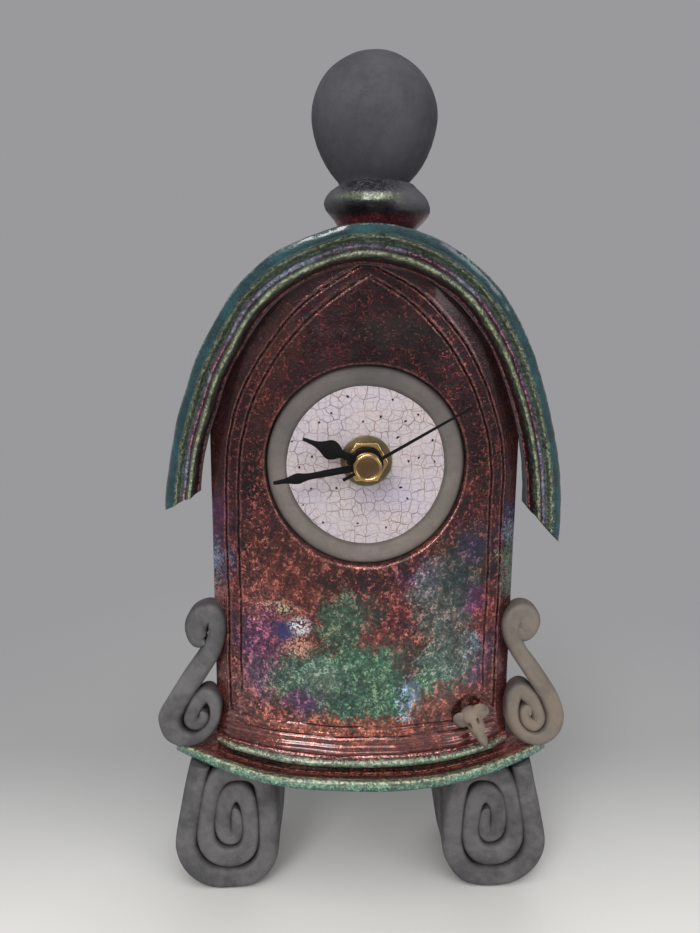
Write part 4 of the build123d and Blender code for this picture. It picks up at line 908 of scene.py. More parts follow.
def roof_glaze(nodes, mm):
    """Teal rim, pale edges, green slope, lustred groove, olive ridge and dark red cove, across the roof."""
    inset = nodes.attribute("inset")
    grains, across, colour = banded_glaze(nodes, mm, inset, ROOF_WIDTH, ROOF_BANDS, ROOF_LINES, 0.9)
    pool = nodes.noise(mm, 0.08, 6.0, 0.6)
    rim = nodes.between(across, 0.33, 0.24)
    colour = nodes.mix(nodes.times(rim, nodes.between(pool, 0.34, 0.68)), colour, glaze("deep_teal"))
    near_groove = nodes.between(nodes.math("ABSOLUTE", nodes.minus(inset, ROOF_GROOVE)), 0.8, 0.2)
    # painted highlight: pale blue streaks along the groove
    shimmer = nodes.times(nodes.between(nodes.noise(mm, 0.045, 3.0), 0.46, 0.62), near_groove)
    colour = nodes.mix(nodes.times(shimmer, 0.5), colour, glaze("sky"))
    dappled = nodes.mix(1.0, colour, nodes.ramp(grains["Tone"], ROOF_DAPPLE), "MULTIPLY")
    colour = nodes.mix(nodes.between(across, 0.22, 0.37, 0.3, 1.0), colour, dappled)
    under = nodes.between(nodes.attribute("forward"), 0.6, 0.2)
    inside = nodes.times(under, nodes.between(inset, 1.5, 3.0))
    colour = nodes.mix(inside, colour, glaze("clay_shade"))
    rough = nodes.ramp(across, ROOF_ROUGHNESS)
    metal = nodes.ramp(across, ROOF_METAL)
    relief = nodes.times(grains["Height"], nodes.between(rough, 0.2, 0.6, 0.15, 1.5))
    relief = nodes.plus(relief, nodes.times(pool, 2.0))
    outer = nodes.times(nodes.between(nodes.attribute("forward"), 9.5, 6.5), nodes.between(inset, 0.4, 0.1))
    rough = nodes.mix(outer, rough, nodes.between(pool, 0.3, 0.7, 0.34, 0.46))
    coat = nodes.times(nodes.between(across, 0.33, 0.24, 0.1, 0.6), nodes.spread(outer, 1.0, 0.3))
    return {
        "Base Color": colour,
        "Metallic": nodes.times(metal, nodes.spread(inside, 1.0, 0.0)),
        "Roughness": nodes.mix(inside, rough, MATT),
        "Coat Weight": coat,
        "Coat Roughness": 0.09,
        "Normal": nodes.bump(relief, 0.22, 0.8),
    }


BASE_BANDS = (
    (0.0, "deep_teal"), (0.8, "teal"), (2.0, "green"), (3.3, "mint"), (4.3, "olive"), (5.6, "moss"),
    (6.6, "maroon"), (8.6, "copper"), (10.4, "umber"), (11.8, "soot"), (12.9, "teal"), (13.8, "green"),
    (14.8, "mint"), (16.0, "olive"), (16.8, "maroon"), (18.0, "copper"),
)
BASE_LINES = (
    # place across, half width, colour, strength
    (3.9, 0.45, "cream", 0.8),
    (5.6, 0.35, "gold", 0.4),
    (7.2, 0.35, "violet", 0.6),
    (8.6, 0.6, "ember", 0.7),
    (9.8, 0.35, "rose", 0.6),
    (15.2, 0.45, "cream", 0.8),
    (17.4, 0.35, "rose", 0.5),
)
# Over the base's width, as for the roof.
BASE_WIDTH = 18.0
BASE_ROUGHNESS = (
    (0.0, 0.3), (0.1, 0.22), (0.22, 0.42), (0.32, 0.3), (0.46, 0.16), (0.66, 0.24), (0.84, 0.38),
    (0.94, 0.18), (1.0, 0.16),
)
BASE_METAL = (
    (0.0, 0.0), (0.34, 0.1), (0.44, 0.8), (0.62, 0.5), (0.70, 0.0), (0.88, 0.1), (0.94, 0.7), (1.0, 0.8),
)
BASE_DAPPLE = ((0.12, 0.25), (0.35, 0.65), (0.5, 0.95), (0.82, 2.1))


def base_glaze(nodes, mm):
    """Green rim, pale edges, copper groove and a pale ridge, by their place across the base moulding."""
    run = nodes.attribute("across")
    grains, across, colour = banded_glaze(nodes, mm, run, BASE_WIDTH, BASE_BANDS, BASE_LINES, 1.9)
    corner = nodes.between(nodes.math("ABSOLUTE", nodes.part(mm, 0)), 42.0, 54.0)
    corner = nodes.times(corner, nodes.between(run, 4.2, 6.0))
    fired = nodes.mix(grains["Tone"], glaze("maroon"), glaze("copper"))
    colour = nodes.mix(nodes.times(corner, 0.85), colour, fired)
    back = nodes.between(nodes.attribute("hidden"), 0.3, 0.7)
    colour = nodes.mix(nodes.times(back, 0.9), colour, glaze("clay_shade"))
    dappled = nodes.mix(1.0, colour, nodes.ramp(grains["Tone"], BASE_DAPPLE), "MULTIPLY")
    colour = nodes.mix(0.9, colour, dappled)
    metal = nodes.ramp(across, BASE_METAL)
    rough = nodes.ramp(across, BASE_ROUGHNESS)
    relief = nodes.plus(nodes.times(grains["Height"], 1.2), nodes.times(nodes.noise(mm, 0.2), 2.0))
    coat = nodes.between(nodes.noise(mm, 0.1), 0.35, 0.65, 0.2, 0.7)
    return {
        "Base Color": colour,
        "Metallic": nodes.times(metal, nodes.spread(back, 1.0, 0.0)),
        "Roughness": nodes.mix(nodes.larger(back, nodes.times(corner, 0.5)), rough, MATT),
        "Coat Weight": nodes.times(coat, nodes.spread(corner, 1.0, 0.1)),
        "Coat Roughness": 0.08,
        "Normal": nodes.bump(relief, 0.2, 0.8),
    }


# Up the collar's height: bands of glaze, and brightness by the grains' tone.
COLLAR_BANDS = (
    (0.0, "maroon"), (0.10, "red"), (0.20, "maroon"), (0.28, "soot"), (0.52, "soot"),
    (0.60, "moss"), (0.68, "olive"), (0.75, "olive"), (0.83, "charcoal"), (1.0, "charcoal"),
)
COLLAR_DAPPLE = ((0.15, 0.25), (0.5, 0.8), (0.68, 1.4), (0.84, 2.6))


def collar_lustre(nodes, mm):
    """Grey clay collar with a lustred patch in front: olive above, soot across the middle, red below."""
    clay = bare_clay(nodes, mm, "charcoal", "charcoal_shade")
    grains = nodes.group(grain_group(), {"Vector": mm, "Scale": LUSTRE_GRAIN})
    parts = nodes.add("SeparateXYZ", {0: mm})
    stray = nodes.times(nodes.minus(nodes.noise(mm, 0.2, 6.0, 0.7), 0.5), 6.0)
    rise = nodes.plus(parts.outputs[2], nodes.times(stray, 0.4))
    share = nodes.between(rise, ROOF_TOP, COLLAR_HIGH[2])
    lustre = nodes.ramp(share, [(at, glaze(name)) for at, name in COLLAR_BANDS])
    lustre = nodes.mix(0.9, lustre, nodes.ramp(grains["Tone"], COLLAR_DAPPLE), "MULTIPLY")
    front = nodes.between(nodes.plus(parts.outputs[1], stray), -4.0, -12.0)
    beside = nodes.between(nodes.plus(nodes.math("ABSOLUTE", parts.outputs[0]), stray), 12.0, 5.0)
    mask = nodes.times(front, beside)
    mask = nodes.larger(mask, nodes.between(share, 0.40, 0.22, 0.0, 0.9))
    return {
        "Base Color": nodes.mix(mask, clay["Color"], lustre),
        "Metallic": nodes.times(mask, 0.55),
        "Roughness": nodes.mix(mask, clay["Roughness"], (0.26, 0.26, 0.26, 1.0)),
        "Coat Weight": nodes.times(mask, 0.5),
        "Coat Roughness": 0.1,
        "Normal": nodes.bump(nodes.plus(clay["Height"], grains["Height"]), 0.16, 0.7),
    }


def crackle_glaze(nodes, mm):
    """White dial glaze: stained craze lines in two sizes, black pinholes and a bluish shade low down."""
    parts = nodes.add("SeparateXYZ", {0: mm})
    flat = nodes.add("CombineXYZ", {0: parts.outputs[0], 1: parts.outputs[2]}).outputs[0]
    values = {"Vector": flat, "Scale": 0.30, "Detail": 2.0}
    wander = nodes.add("TexNoise", values, noise_dimensions="2D").outputs["Color"]
    wander = nodes.vector("SUBTRACT", wander, HALF)
    bent = nodes.vector("ADD", flat, nodes.scaled(wander, (1.6, 1.6, 0.0)))

    def plane_cells(scale, feature, randomness=1.0):
        values = {"Vector": bent, "Scale": scale, "Randomness": randomness}
        return nodes.add("TexVoronoi", values, feature=feature, voronoi_dimensions="2D").outputs

    coarse = plane_cells(0.27, "DISTANCE_TO_EDGE", 0.75)["Distance"]
    fine = plane_cells(0.46, "DISTANCE_TO_EDGE", 0.7)["Distance"]
    strength = nodes.between(nodes.noise(mm, 0.12, 3.0), 0.35, 0.6, 0.45, 1.0)
    wide = nodes.times(nodes.between(coarse, 0.052, 0.014), 0.85)
    thin = nodes.times(nodes.between(fine, 0.055, 0.016), 0.6)
    lines = nodes.times(nodes.larger(wide, thin), strength)
    cloud = nodes.noise(mm, 0.08, 4.0, 0.6)
    colour = nodes.mix(nodes.between(cloud, 0.4, 0.65, 0.0, 0.6), glaze("crackle"), tint(176, 170, 182))
    blush = nodes.between(nodes.noise(mm, 0.17, 4.0), 0.5, 0.72, 0.0, 0.35)
    colour = nodes.mix(blush, colour, tint(198, 180, 172))
    low = patch(nodes, mm, 5.0, 147.0, 9.0, 7.0, 0.8)
    colour = nodes.mix(nodes.times(low, 0.55), colour, tint(158, 154, 172))
    colour = nodes.mix(lines, colour, glaze("craze"))
    holes = plane_cells(0.145, "F1")
    hole = nodes.between(holes["Distance"], 0.066, 0.040)
    picked = nodes.math("GREATER_THAN", nodes.channel(holes["Color"], 1), 0.40)
    hole = nodes.times(hole, picked)
    colour = nodes.mix(hole, colour, tint(28, 26, 30))
    height = nodes.minus(nodes.times(cloud, 0.8), nodes.plus(nodes.times(lines, 0.3), hole))
    return {
        "Base Color": colour,
        "Roughness": nodes.spread(lines, 0.2, 0.45),
        "Coat Weight": nodes.between(cloud, 0.3, 0.7, 0.3, 0.6),
        "Coat Roughness": 0.06,
        "Normal": nodes.bump(height, 0.14, 0.8),
    }


def metal_finish(colour, dull, rough, dull_rough, scale=0.35):
    """A metal with duller smears where it has been handled."""

    def build(nodes, mm):
        wear = nodes.group(wear_group(), {"Vector": mm, "Scale": scale})
        return {
            "Base Color": nodes.mix(wear["Mask"], tint(*colour), tint(*dull)),
            "Metallic": 1.0,
            "Roughness": nodes.spread(wear["Mask"], rough, dull_rough),
            "Normal": nodes.bump(wear["Height"], 0.02, 0.5),
        }

    return build


def moulded_finish(colour, worn, rough, scale=0.5, relief=0.03, shine=0.5):
    """Paint, rubber or moulded plastic with a fine skin and handling marks."""

    def build(nodes, mm):
        wear = nodes.group(wear_group(), {"Vector": mm, "Scale": scale})
        skin = nodes.noise(mm, 5.0, 2.0)
        return {
            "Base Color": nodes.mix(wear["Mask"], tint(*colour), tint(*worn)),
            "Roughness": nodes.spread(wear["Mask"], rough, min(1.0, rough + 0.15)),
            "Normal": nodes.bump(nodes.plus(skin, wear["Height"]), relief, 0.6),
            "Specular IOR Level": shine,
        }

    return build


def wound_wire(nodes, mm):
    """Enamelled copper wire laid turn by turn along the coil."""
    values = {"Vector": mm, "Scale": 1.6, "Distortion": 0.15}
    turns = nodes.add("TexWave", values, bands_direction="X").outputs["Fac"]
    wear = nodes.group(wear_group(), {"Vector": mm, "Scale": 0.5})
    colour = nodes.mix(turns, tint(96, 46, 26), tint(196, 112, 66))
    return {
        "Base Color": nodes.mix(nodes.times(wear["Mask"], 0.3), colour, tint(128, 66, 40)),
        "Metallic": 0.9,
        "Roughness": nodes.spread(turns, 0.5, 0.28),
        "Normal": nodes.bump(turns, 0.12),
    }


def cell_sleeve(nodes, mm):
    """Plain printed film round the battery: dark body, pale band at one end, no lettering."""
    wear = nodes.group(wear_group(), {"Vector": mm, "Scale": 0.6})
    end = nodes.between(nodes.part(mm, 0), 9.0, 9.4)
    colour = nodes.mix(end, tint(38, 46, 44), tint(176, 132, 72))
    return {
        "Base Color": nodes.mix(nodes.times(wear["Mask"], 0.25), colour, tint(98, 98, 94)),
        "Metallic": nodes.spread(end, 0.2, 0.7),
        "Roughness": nodes.spread(wear["Mask"], 0.28, 0.42),
        "Normal": nodes.bump(wear["Height"], 0.02),
    }


FINISHES = {
    "Copper lustre": copper_lustre,
    "Roof glaze": roof_glaze,
    "Base glaze": base_glaze,
    "Collar lustre": collar_lustre,
    "Crackle glaze": crackle_glaze,
    "Bare clay": clay_finish("clay", "clay_shade"),
    "Rolled clay": clay_finish("clay", "clay_shade", seam="seam"),
    "Charcoal clay": clay_finish("charcoal", "charcoal_shade", "clay"),
    "Warm clay": clay_finish("warm_clay", "warm_shade", seam="seam"),
    "Ring clay": ring_clay,
    "Mouse clay": clay_finish("mouse", "clay_shade", seam="seam"),
    "Antique brass": metal_finish((134, 120, 90), (100, 90, 66), 0.36, 0.52),
    "Bright brass": metal_finish((214, 184, 124), (176, 142, 92), 0.14, 0.26),
    "Dished brass": metal_finish((152, 124, 92), (112, 88, 64), 0.2, 0.34),
    "Black paint": moulded_finish((9, 8, 9), (16, 15, 16), 0.5, shine=0.12),
    "Rubber": moulded_finish((26, 26, 27), (48, 47, 46), 0.75, 0.9),
    "Black plastic": moulded_finish((28, 29, 31), (48, 49, 51), 0.46, 0.3, 0.06),
    "White plastic": moulded_finish((222, 220, 212), (198, 194, 184), 0.4),
    "Ferrite": moulded_finish((58, 58, 62), (84, 84, 88), 0.5),
    "Soft iron": metal_finish((150, 150, 152), (112, 110, 108), 0.34, 0.5),
    "Wound wire": wound_wire,
    "Board laminate": moulded_finish((42, 88, 56), (66, 112, 74), 0.38, 1.2),
    "Crystal can": metal_finish((196, 196, 198), (160, 160, 162), 0.2, 0.36),
    "Cell sleeve": cell_sleeve,
    "Spring steel": metal_finish((186, 186, 184), (140, 140, 138), 0.24, 0.4),
}


def material(name):
    """One of the finishes as a material, built once."""
    if name in bpy.data.materials:
        return bpy.data.materials[name]
    made = bpy.data.materials.new(name)
    nodes = fresh_nodes(made)
    mm = nodes.scaled(nodes.add("TexCoord").outputs["Object"], (1 / MM, 1 / MM, 1 / MM))
    shader = nodes.add("BsdfPrincipled", FINISHES[name](nodes, mm))
    nodes.add("OutputMaterial", {"Surface": shader.outputs["BSDF"]})
    return made


def dress(node, finish):
    """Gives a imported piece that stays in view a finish."""
    piece = frame["nodes"][node]
    if not piece.material_slots:
        piece.data.materials.append(material(finish))
    for holder in piece.material_slots:
        holder.material = material(finish)


# Shapes of the clock.


def arch_place(along, inset):
    """Place (x, z) at a length along the roof's outline from the crown, left negative, and a depth in it."""
    bend = CROWN_RADIUS * CROWN_TURN
    run = np.abs(along)
    crown = run <= bend
    turn = np.where(crown, run / CROWN_RADIUS, CROWN_TURN + (run - bend) / FLANK_RADIUS)
    radius = np.where(crown, CROWN_RADIUS, FLANK_RADIUS) - inset
    x = np.where(crown, 0.0, -FLANK_OFFSET) + radius * np.sin(turn)
    z = np.where(crown, CROWN_HEIGHT, FLANK_HEIGHT) + radius * np.cos(turn)
    return np.sign(along) * x, z


def line_place(x, z):
    """Distance across the frame of the cut lines, which is a pointed arch with a level foot."""
    above = np.hypot(np.abs(x) + LINE_REACH, np.maximum(z - LINE_SPRING, 0)) - LINE_REACH
    beside = np.where(z > LINE_SPRING, above, np.abs(x))
    spread = (LINE_HALF_WIDTHS[0] - LINE_HALF_WIDTHS[1]) / (LINE_FEET[1] - LINE_FEET[0])
    below = LINE_HALF_WIDTHS[0] - (z - LINE_FEET[0]) * spread
    return np.maximum(beside, below)


def panel_outline(step):
    """Points round the edge of the front panel, from the foot's middle to the right, and back."""
    inner_flank = FLANK_RADIUS - ROOF_SLAB
    eaves = FLANK_HEIGHT + math.sqrt(inner_flank**2 - (BODY_HALF_WIDTH + FLANK_OFFSET) ** 2)
    eaves_turn = math.acos((eaves - FLANK_HEIGHT) / inner_flank)
    eaves_run = CROWN_RADIUS * CROWN_TURN + FLANK_RADIUS * (eaves_turn - CROWN_TURN)
    foot = np.arange(0, BODY_HALF_WIDTH, step)
    side = np.arange(PANEL_FOOT, eaves, step)
    arch = np.linspace(eaves_run, 0, int(eaves_run / step))
    arch_x, arch_z = arch_place(arch, ROOF_SLAB)
    x = np.concatenate([foot, np.full(len(side), BODY_HALF_WIDTH), arch_x])
    z = np.concatenate([np.full(len(foot), PANEL_FOOT), side, arch_z])
    right = np.stack([x, z], axis=1)
    left = right[-2:0:-1] * (-1, 1)
    return np.vstack([right, left])


def foot_flare(x, z):
    """How far the panel's foot stands forward of its bowed face."""
    share = np.clip((FLARE_TOP - z) / (FLARE_TOP - PANEL_FOOT), 0, 1)
    level = 1 - 0.6 * smoothstep(CORNER_START, BODY_HALF_WIDTH, np.abs(x))
    return FLARE_REACH * level * (1 - np.sqrt(1 - share**2))


def cut_lines(x, z):
    """How much of a groove and of its raised burrs lies at each place of the front panel; the burrs also take
    painted highlights.
    """
    width = sizes().line_width / MM
    side = np.sign(x)
    hand = 0.16 * np.sin(z / 7.1 + side) + 0.07 * np.sin(z / 2.3 + 2 * side)
    hand = hand + 0.08 * np.sin(x / 2.9) + 0.05 * np.sin((z - x) / 0.9)
    across = line_place(x, z) + hand
    outer = np.clip((across - LINE_HALF_WIDTHS[1]) / (LINE_HALF_WIDTHS[0] - LINE_HALF_WIDTHS[1]), 0, 1.2)
    across = across + 1.3 * outer * np.exp(-((x / 11.0) ** 2)) * (z > DIAL_HEIGHT)
    groove = np.zeros_like(x)
    burr = np.zeros_like(x)
    for half_width in LINE_HALF_WIDTHS:
        off = np.abs(across - half_width)
        groove = np.maximum(groove, np.exp(-((off / (0.45 * width)) ** 2)))
        burr = np.maximum(burr, np.exp(-(((off - width) / (0.4 * width)) ** 2)))
    return groove, burr


FRONT_RINGS = 112
BACK_RINGS = 10
# The height of the raised burrs as a share of the line's depth, the ridges of the foot and the depth of the
# mouse hole.
BURR_SHARE = 0.25
THROWN_PITCH = 2.1
THROWN_DEPTH = 0.2
THROWN_TOP = 67.5
MOUSE_HOLE_DEPTH = 4.5


class CLOCK_OT_front_panel(bpy.types.Operator):
    """Model the bowed front panel with its cut lines, dial opening and mouse hole"""

    bl_idname = "clock.front_panel"
    bl_label = "Front Panel"

    def execute(self, context):
        outline = panel_outline(1.0)
        centre = np.array([0.0, DIAL_HEIGHT])
        reach = np.linalg.norm(outline - centre, axis=1, keepdims=True)
        opening = centre + (outline - centre) / reach * OPENING_RADIUS
        depth = sizes().line_depth / MM
        lip = sizes().lip / MM
        levels = 1 - (1 - np.linspace(0, 1, FRONT_RINGS)) ** 1.25
        front = []
        for level in levels:
            flat = opening + (outline - opening) * level
            from_lip = np.linalg.norm(flat - opening, axis=1)
            from_edge = np.linalg.norm(outline - flat, axis=1)
            groove, burr = cut_lines(flat[:, 0], flat[:, 1])
            hole = np.hypot(flat[:, 0] - MOUSE_HOLE[0], flat[:, 1] - MOUSE_HOLE[1])
            back = lip - np.sqrt(np.maximum(lip**2 - np.maximum(lip - from_lip, 0) ** 2, 0))
            eased = lip - np.sqrt(np.maximum(lip**2 - np.maximum(lip - from_edge, 0) ** 2, 0))
            back += eased * (outline[:, 1] > PANEL_FOOT + 0.5)
            back -= foot_flare(flat[:, 0], flat[:, 1])
            back += depth * groove - BURR_SHARE * depth * burr
            thrown = np.sin(2 * math.pi * flat[:, 1] / THROWN_PITCH + 0.4 * np.sin(flat[:, 0] / 9.0))
            back += THROWN_DEPTH * thrown * smoothstep(THROWN_TOP, THROWN_TOP - 3.0, flat[:, 1])
            back += MOUSE_HOLE_DEPTH * smoothstep(MOUSE_HOLE_RADIUS, MOUSE_HOLE_RADIUS - 1.2, hole)
            y = PANEL_FRONT + bow_drop(flat[:, 0]) + back
            front.append(np.stack([flat[:, 0], y, flat[:, 1]], axis=1))
        front = np.array(front)
        front = hand_wobble(front, "front_panel") * (0, 1, 0) + front * (1, 0, 1)
        behind = []
        for level in np.linspace(1, 0, BACK_RINGS):
            flat = opening + (outline - opening) * level
            y = PANEL_FRONT + WALL + bow_drop(flat[:, 0])
            behind.append(np.stack([flat[:, 0], y, flat[:, 1]], axis=1))
        rings = np.vstack([front, np.array(behind), front[:1]])
        groove, burr = cut_lines(rings[..., 0], rings[..., 2])
        from_lip = np.hypot(rings[..., 0], rings[..., 2] - DIAL_HEIGHT) - OPENING_RADIUS
        # painted highlight: a pale pink line round the lip of the dial opening
        burr = np.maximum(burr, 0.9 * np.exp(-(((from_lip - 0.45) / 0.35) ** 2)))
        edge = LINE_HALF_WIDTHS[0]
        border = smoothstep(edge - 1.5, edge, line_place(rings[..., 0], rings[..., 2]))
        inside = np.repeat([0.0, 1.0, 0.0], [len(front), len(behind), 1])[:, None]
        paint = {"groove": groove, "burr": burr, "border": border, "inside": inside}
        piece = lofted("glazed_front", rings, paint)
        settle(piece, "case", "copper_red_glaze", ["Copper lustre"], "front_panel", angle=55.0)
        return {"FINISHED"}


class CLOCK_OT_walls(bpy.types.Operator):
    """Soften the side and back slabs of the body"""

    bl_idname = "clock.walls"
    bl_label = "Walls"

    def execute(self, context):
        walls = (
            ("left_side_panel", "left_wall", "Copper lustre", "copper_red_glaze"),
            ("right_side_panel", "right_wall", "Copper lustre", "copper_red_glaze"),
            ("back_panel", "back_wall", "Bare clay", "bare_clay"),
        )
        for node, name, finish, slot in walls:
            piece = packed_copy(node, name)
            voxel = sizes().wall_voxel
            apply_modifier(piece, "REMESH", mode="VOXEL", voxel_size=voxel, adaptivity=0.0)
            apply_modifier(piece, "SMOOTH", factor=0.5, iterations=3)
            points = points_of(piece) / MM
            inside = smoothstep(BODY_HALF_WIDTH - 2.0, BODY_HALF_WIDTH - 3.5, np.abs(points[:, 0]))
            paint_points(piece, "inside", inside)
            move_points(piece, hand_wobble(points, "walls") * MM)
            settle(piece, "case", slot, [finish], node)
        return {"FINISHED"}


# Across the base moulding: places forward of the panel and up from the plate's underside.
RIM_SECTION = (
    (-54.6, 0.0), (-30.0, 0.0), (-8.0, 0.0), (10.0, 0.0), (10.7, 0.25), (11.0, 0.9), (11.0, 1.7),
    (10.95, 2.5), (10.6, 3.1), (10.0, 3.4), (9.2, 3.4), (8.2, 3.3), (7.0, 3.1), (5.8, 2.95), (4.6, 2.95),
    (3.5, 3.1), (2.0, 3.2), (-20.0, 3.3), (-46.0, 3.3), (-53.8, 3.3), (-54.8, 2.9), (-55.0, 2.0),
    (-55.0, 0.8),
)
RIDGE_SECTION = (
    (3.3, 3.0), (3.35, 3.7), (3.7, 4.4), (4.5, 4.9), (5.15, 5.4), (5.4, 6.1), (5.3, 6.8), (4.95, 7.25),
    (4.4, 7.6), (3.8, 7.9), (3.3, 8.3), (3.0, 8.65), (2.4, 8.8), (0.3, 8.8), (-6.0, 8.8), (-24.0, 8.8),
    (-47.4, 8.8), (-48.0, 8.2), (-48.0, 4.0), (-48.0, 3.0),
)
RIM_FIRST = 3
RIDGE_START = 10.4
BASE_STEPS = 190
BASE_END_EASE = (1, 0.992, 0.93)


class CLOCK_OT_base(bpy.types.Operator):
    """Model the moulded base: a bowed rim and a ridge under the front panel"""

    bl_idname = "clock.base"
    bl_label = "Base"

    def execute(self, context):
        rim = self.moulding("base_rim", RIM_SECTION, BASE_HIGH[0], RIM_FIRST, 0.0)
        ridge = self.moulding("base_ridge", RIDGE_SECTION, BODY_HALF_WIDTH, 0, RIDGE_START)
        pick(ridge)
        rim.select_set(True)
        bpy.context.view_layer.objects.active = rim
        bpy.ops.object.join()
        rim.name = rim.data.name = "moulded_base"
        paint_caps(rim, 1)
        settle(rim, "case", "green_copper_glaze", ["Base glaze", "Bare clay"], "base_plate")
        return {"FINISHED"}

    def moulding(self, name, section, half_width, first, start):
        """One band of the base, run from side to side; across counts millimetres over its face from first."""
        forward, rise = np.array(section).T
        steps = np.hypot(np.diff(forward, append=forward[0]), np.diff(rise, append=rise[0]))
        across = np.roll(np.cumsum(np.roll(steps, -first)) - np.roll(steps, -first), first) + start
        hidden = (forward < 0.0).astype(float)
        x = np.linspace(-half_width, half_width, BASE_STEPS)[:, None]
        thin = 1 - 0.45 * smoothstep(CORNER_START, BODY_HALF_WIDTH, np.abs(x)) * (start > 0)
        ahead = np.where(forward > 0, forward * thin, forward)
        level = np.clip(1 + np.minimum(forward, 0) / (BODY_BACK - PANEL_FRONT), 0, 1)
        y = PANEL_FRONT - ahead + bow_drop(x) * level
        z = BASE_LOW[2] + np.broadcast_to(rise, y.shape)
        rings = np.stack([np.broadcast_to(x, y.shape), y, z], axis=2)
        moved = hand_wobble(rings, name)
        rings = np.where((forward > 0)[None, :, None], moved, rings)
        rings[..., 2] = np.clip(rings[..., 2], BASE_LOW[2], BASE_HIGH[2])
        rings[..., 1] = np.clip(rings[..., 1], BASE_LOW[1], BASE_HIGH[1])
        rings[..., 0] = np.clip(rings[..., 0], -half_width, half_width)
        middles = rings.mean(1, keepdims=True)
        ends = [middles[i] + (rings[i] - middles[i]) * BASE_END_EASE for i in (0, -1)]
        rings[1:-1, :, 0] *= 1 - 0.5 / half_width
        rings = np.vstack([ends[:1], rings[1:-1], ends[1:]])
        paint = {"across": across[None, :], "hidden": hidden[None, :]}
        return lofted(name, rings, paint, capped=True)


# Across the roof: depth inside the outline, and place forward of the panel.
ROOF_SECTION = (
    (0.0, -40.0), (0.0, -30.0), (0.0, -20.0), (0.0, -10.0), (0.0, -3.0), (0.0, 3.0), (0.0, 7.0), (0.0, 9.4),
    (0.12, 10.3), (0.45, 10.85), (1.1, 11.0), (2.3, 11.0), (3.0, 10.8), (3.45, 10.3), (3.75, 9.6),
    (4.1, 8.6), (4.6, 7.5), (5.3, 6.6), (6.0, 6.0), (6.6, 5.75), (7.0, 5.9), (7.25, 6.5), (7.5, 7.1),
    (7.85, 7.5), (8.35, 7.6), (8.75, 7.3), (9.0, 6.5), (9.15, 5.4), (9.35, 4.2), (9.6, 3.1), (9.9, 2.1),
    (10.25, 1.3), (10.6, 0.7), (10.95, 0.2), (11.3, -0.5), (9.0, -0.6), (6.4, -0.7), (5.2, -1.0),
    (5.0, -2.0), (5.0, -12.0), (5.0, -24.0), (5.0, -36.0), (5.0, -46.0), (4.8, -51.0), (4.0, -51.9),
    (2.5, -52.0), (1.0, -51.9), (0.2, -51.0), (0.0, -48.0),
)
ROOF_STEPS = 330


class CLOCK_OT_roof(bpy.types.Operator):
    """Model the arched roof with its run moulding and slanting cut tips"""

    bl_idname = "clock.roof"
    bl_label = "Roof"

    def execute(self, context):
        inset, forward = np.array(ROOF_SECTION).T
        left = -LEFT_TIP_LENGTH + inset * math.tan(LEFT_TIP_SLOPE)
        right = RIGHT_TIP_LENGTH - inset * math.tan(RIGHT_TIP_SLOPE)
        share = np.linspace(0, 1, ROOF_STEPS)[:, None]
        plain = -LEFT_TIP_LENGTH + (LEFT_TIP_LENGTH + RIGHT_TIP_LENGTH) * share
        slant_left = (left + LEFT_TIP_LENGTH) * (1 - smoothstep(0.0, 0.14, share))
        slant_right = (right - RIGHT_TIP_LENGTH) * smoothstep(0.86, 1.0, share)
        along = plain + slant_left + slant_right
        x, z = arch_place(along, np.broadcast_to(inset, along.shape))
        level = np.clip(1 + np.minimum(forward, 0) / (ROOF_HIGH[1] - PANEL_FRONT), 0, 1)
        y = PANEL_FRONT - forward + bow_drop(x) * level
        rings = np.stack([x, y, z], axis=2)
        rings = hand_wobble(hand_wobble(rings, "roof"), "roof_edges")
        rings = np.clip(rings, ROOF_LOW, ROOF_HIGH)
        for end, mate in ((0, 1), (-1, -2)):
            middle = rings[end].mean(0)
            rings[mate] = rings[end] * 0.7 + rings[mate] * 0.3
            rings[end] = middle + (rings[end] - middle) * 0.985
        paint = {"inset": inset[None, :], "forward": forward[None, :]}
        piece = lofted("arched_roof", rings, paint, capped=True)
        paint_caps(piece, 1)
        settle(piece, "case", "teal_glaze", ["Roof glaze", "Bare clay"], "roof")
        return {"FINISHED"}


# The collar's profile: shares of its widest radius and of its height.
COLLAR_PROFILE = (
    (0.70, 0.0), (0.73, 0.08), (0.79, 0.17), (0.88, 0.27), (0.96, 0.38), (1.0, 0.49), (0.995, 0.58),
    (0.96, 0.68), (0.90, 0.77), (0.81, 0.86), (0.73, 0.94), (0.68, 1.0),
)
COLLAR_TILT = 3.6
# The ball's lower half: radius, and height over the collar's top.
BALL_SEAT = (
    (0.0, -1.4), (10.2, -1.4), (10.8, -0.6), (10.9, 0.0), (11.3, 0.6), (12.2, 1.6), (13.5, 3.1),
    (15.2, 5.6), (16.7, 8.4), (17.9, 11.2), (18.8, 14.4),
)


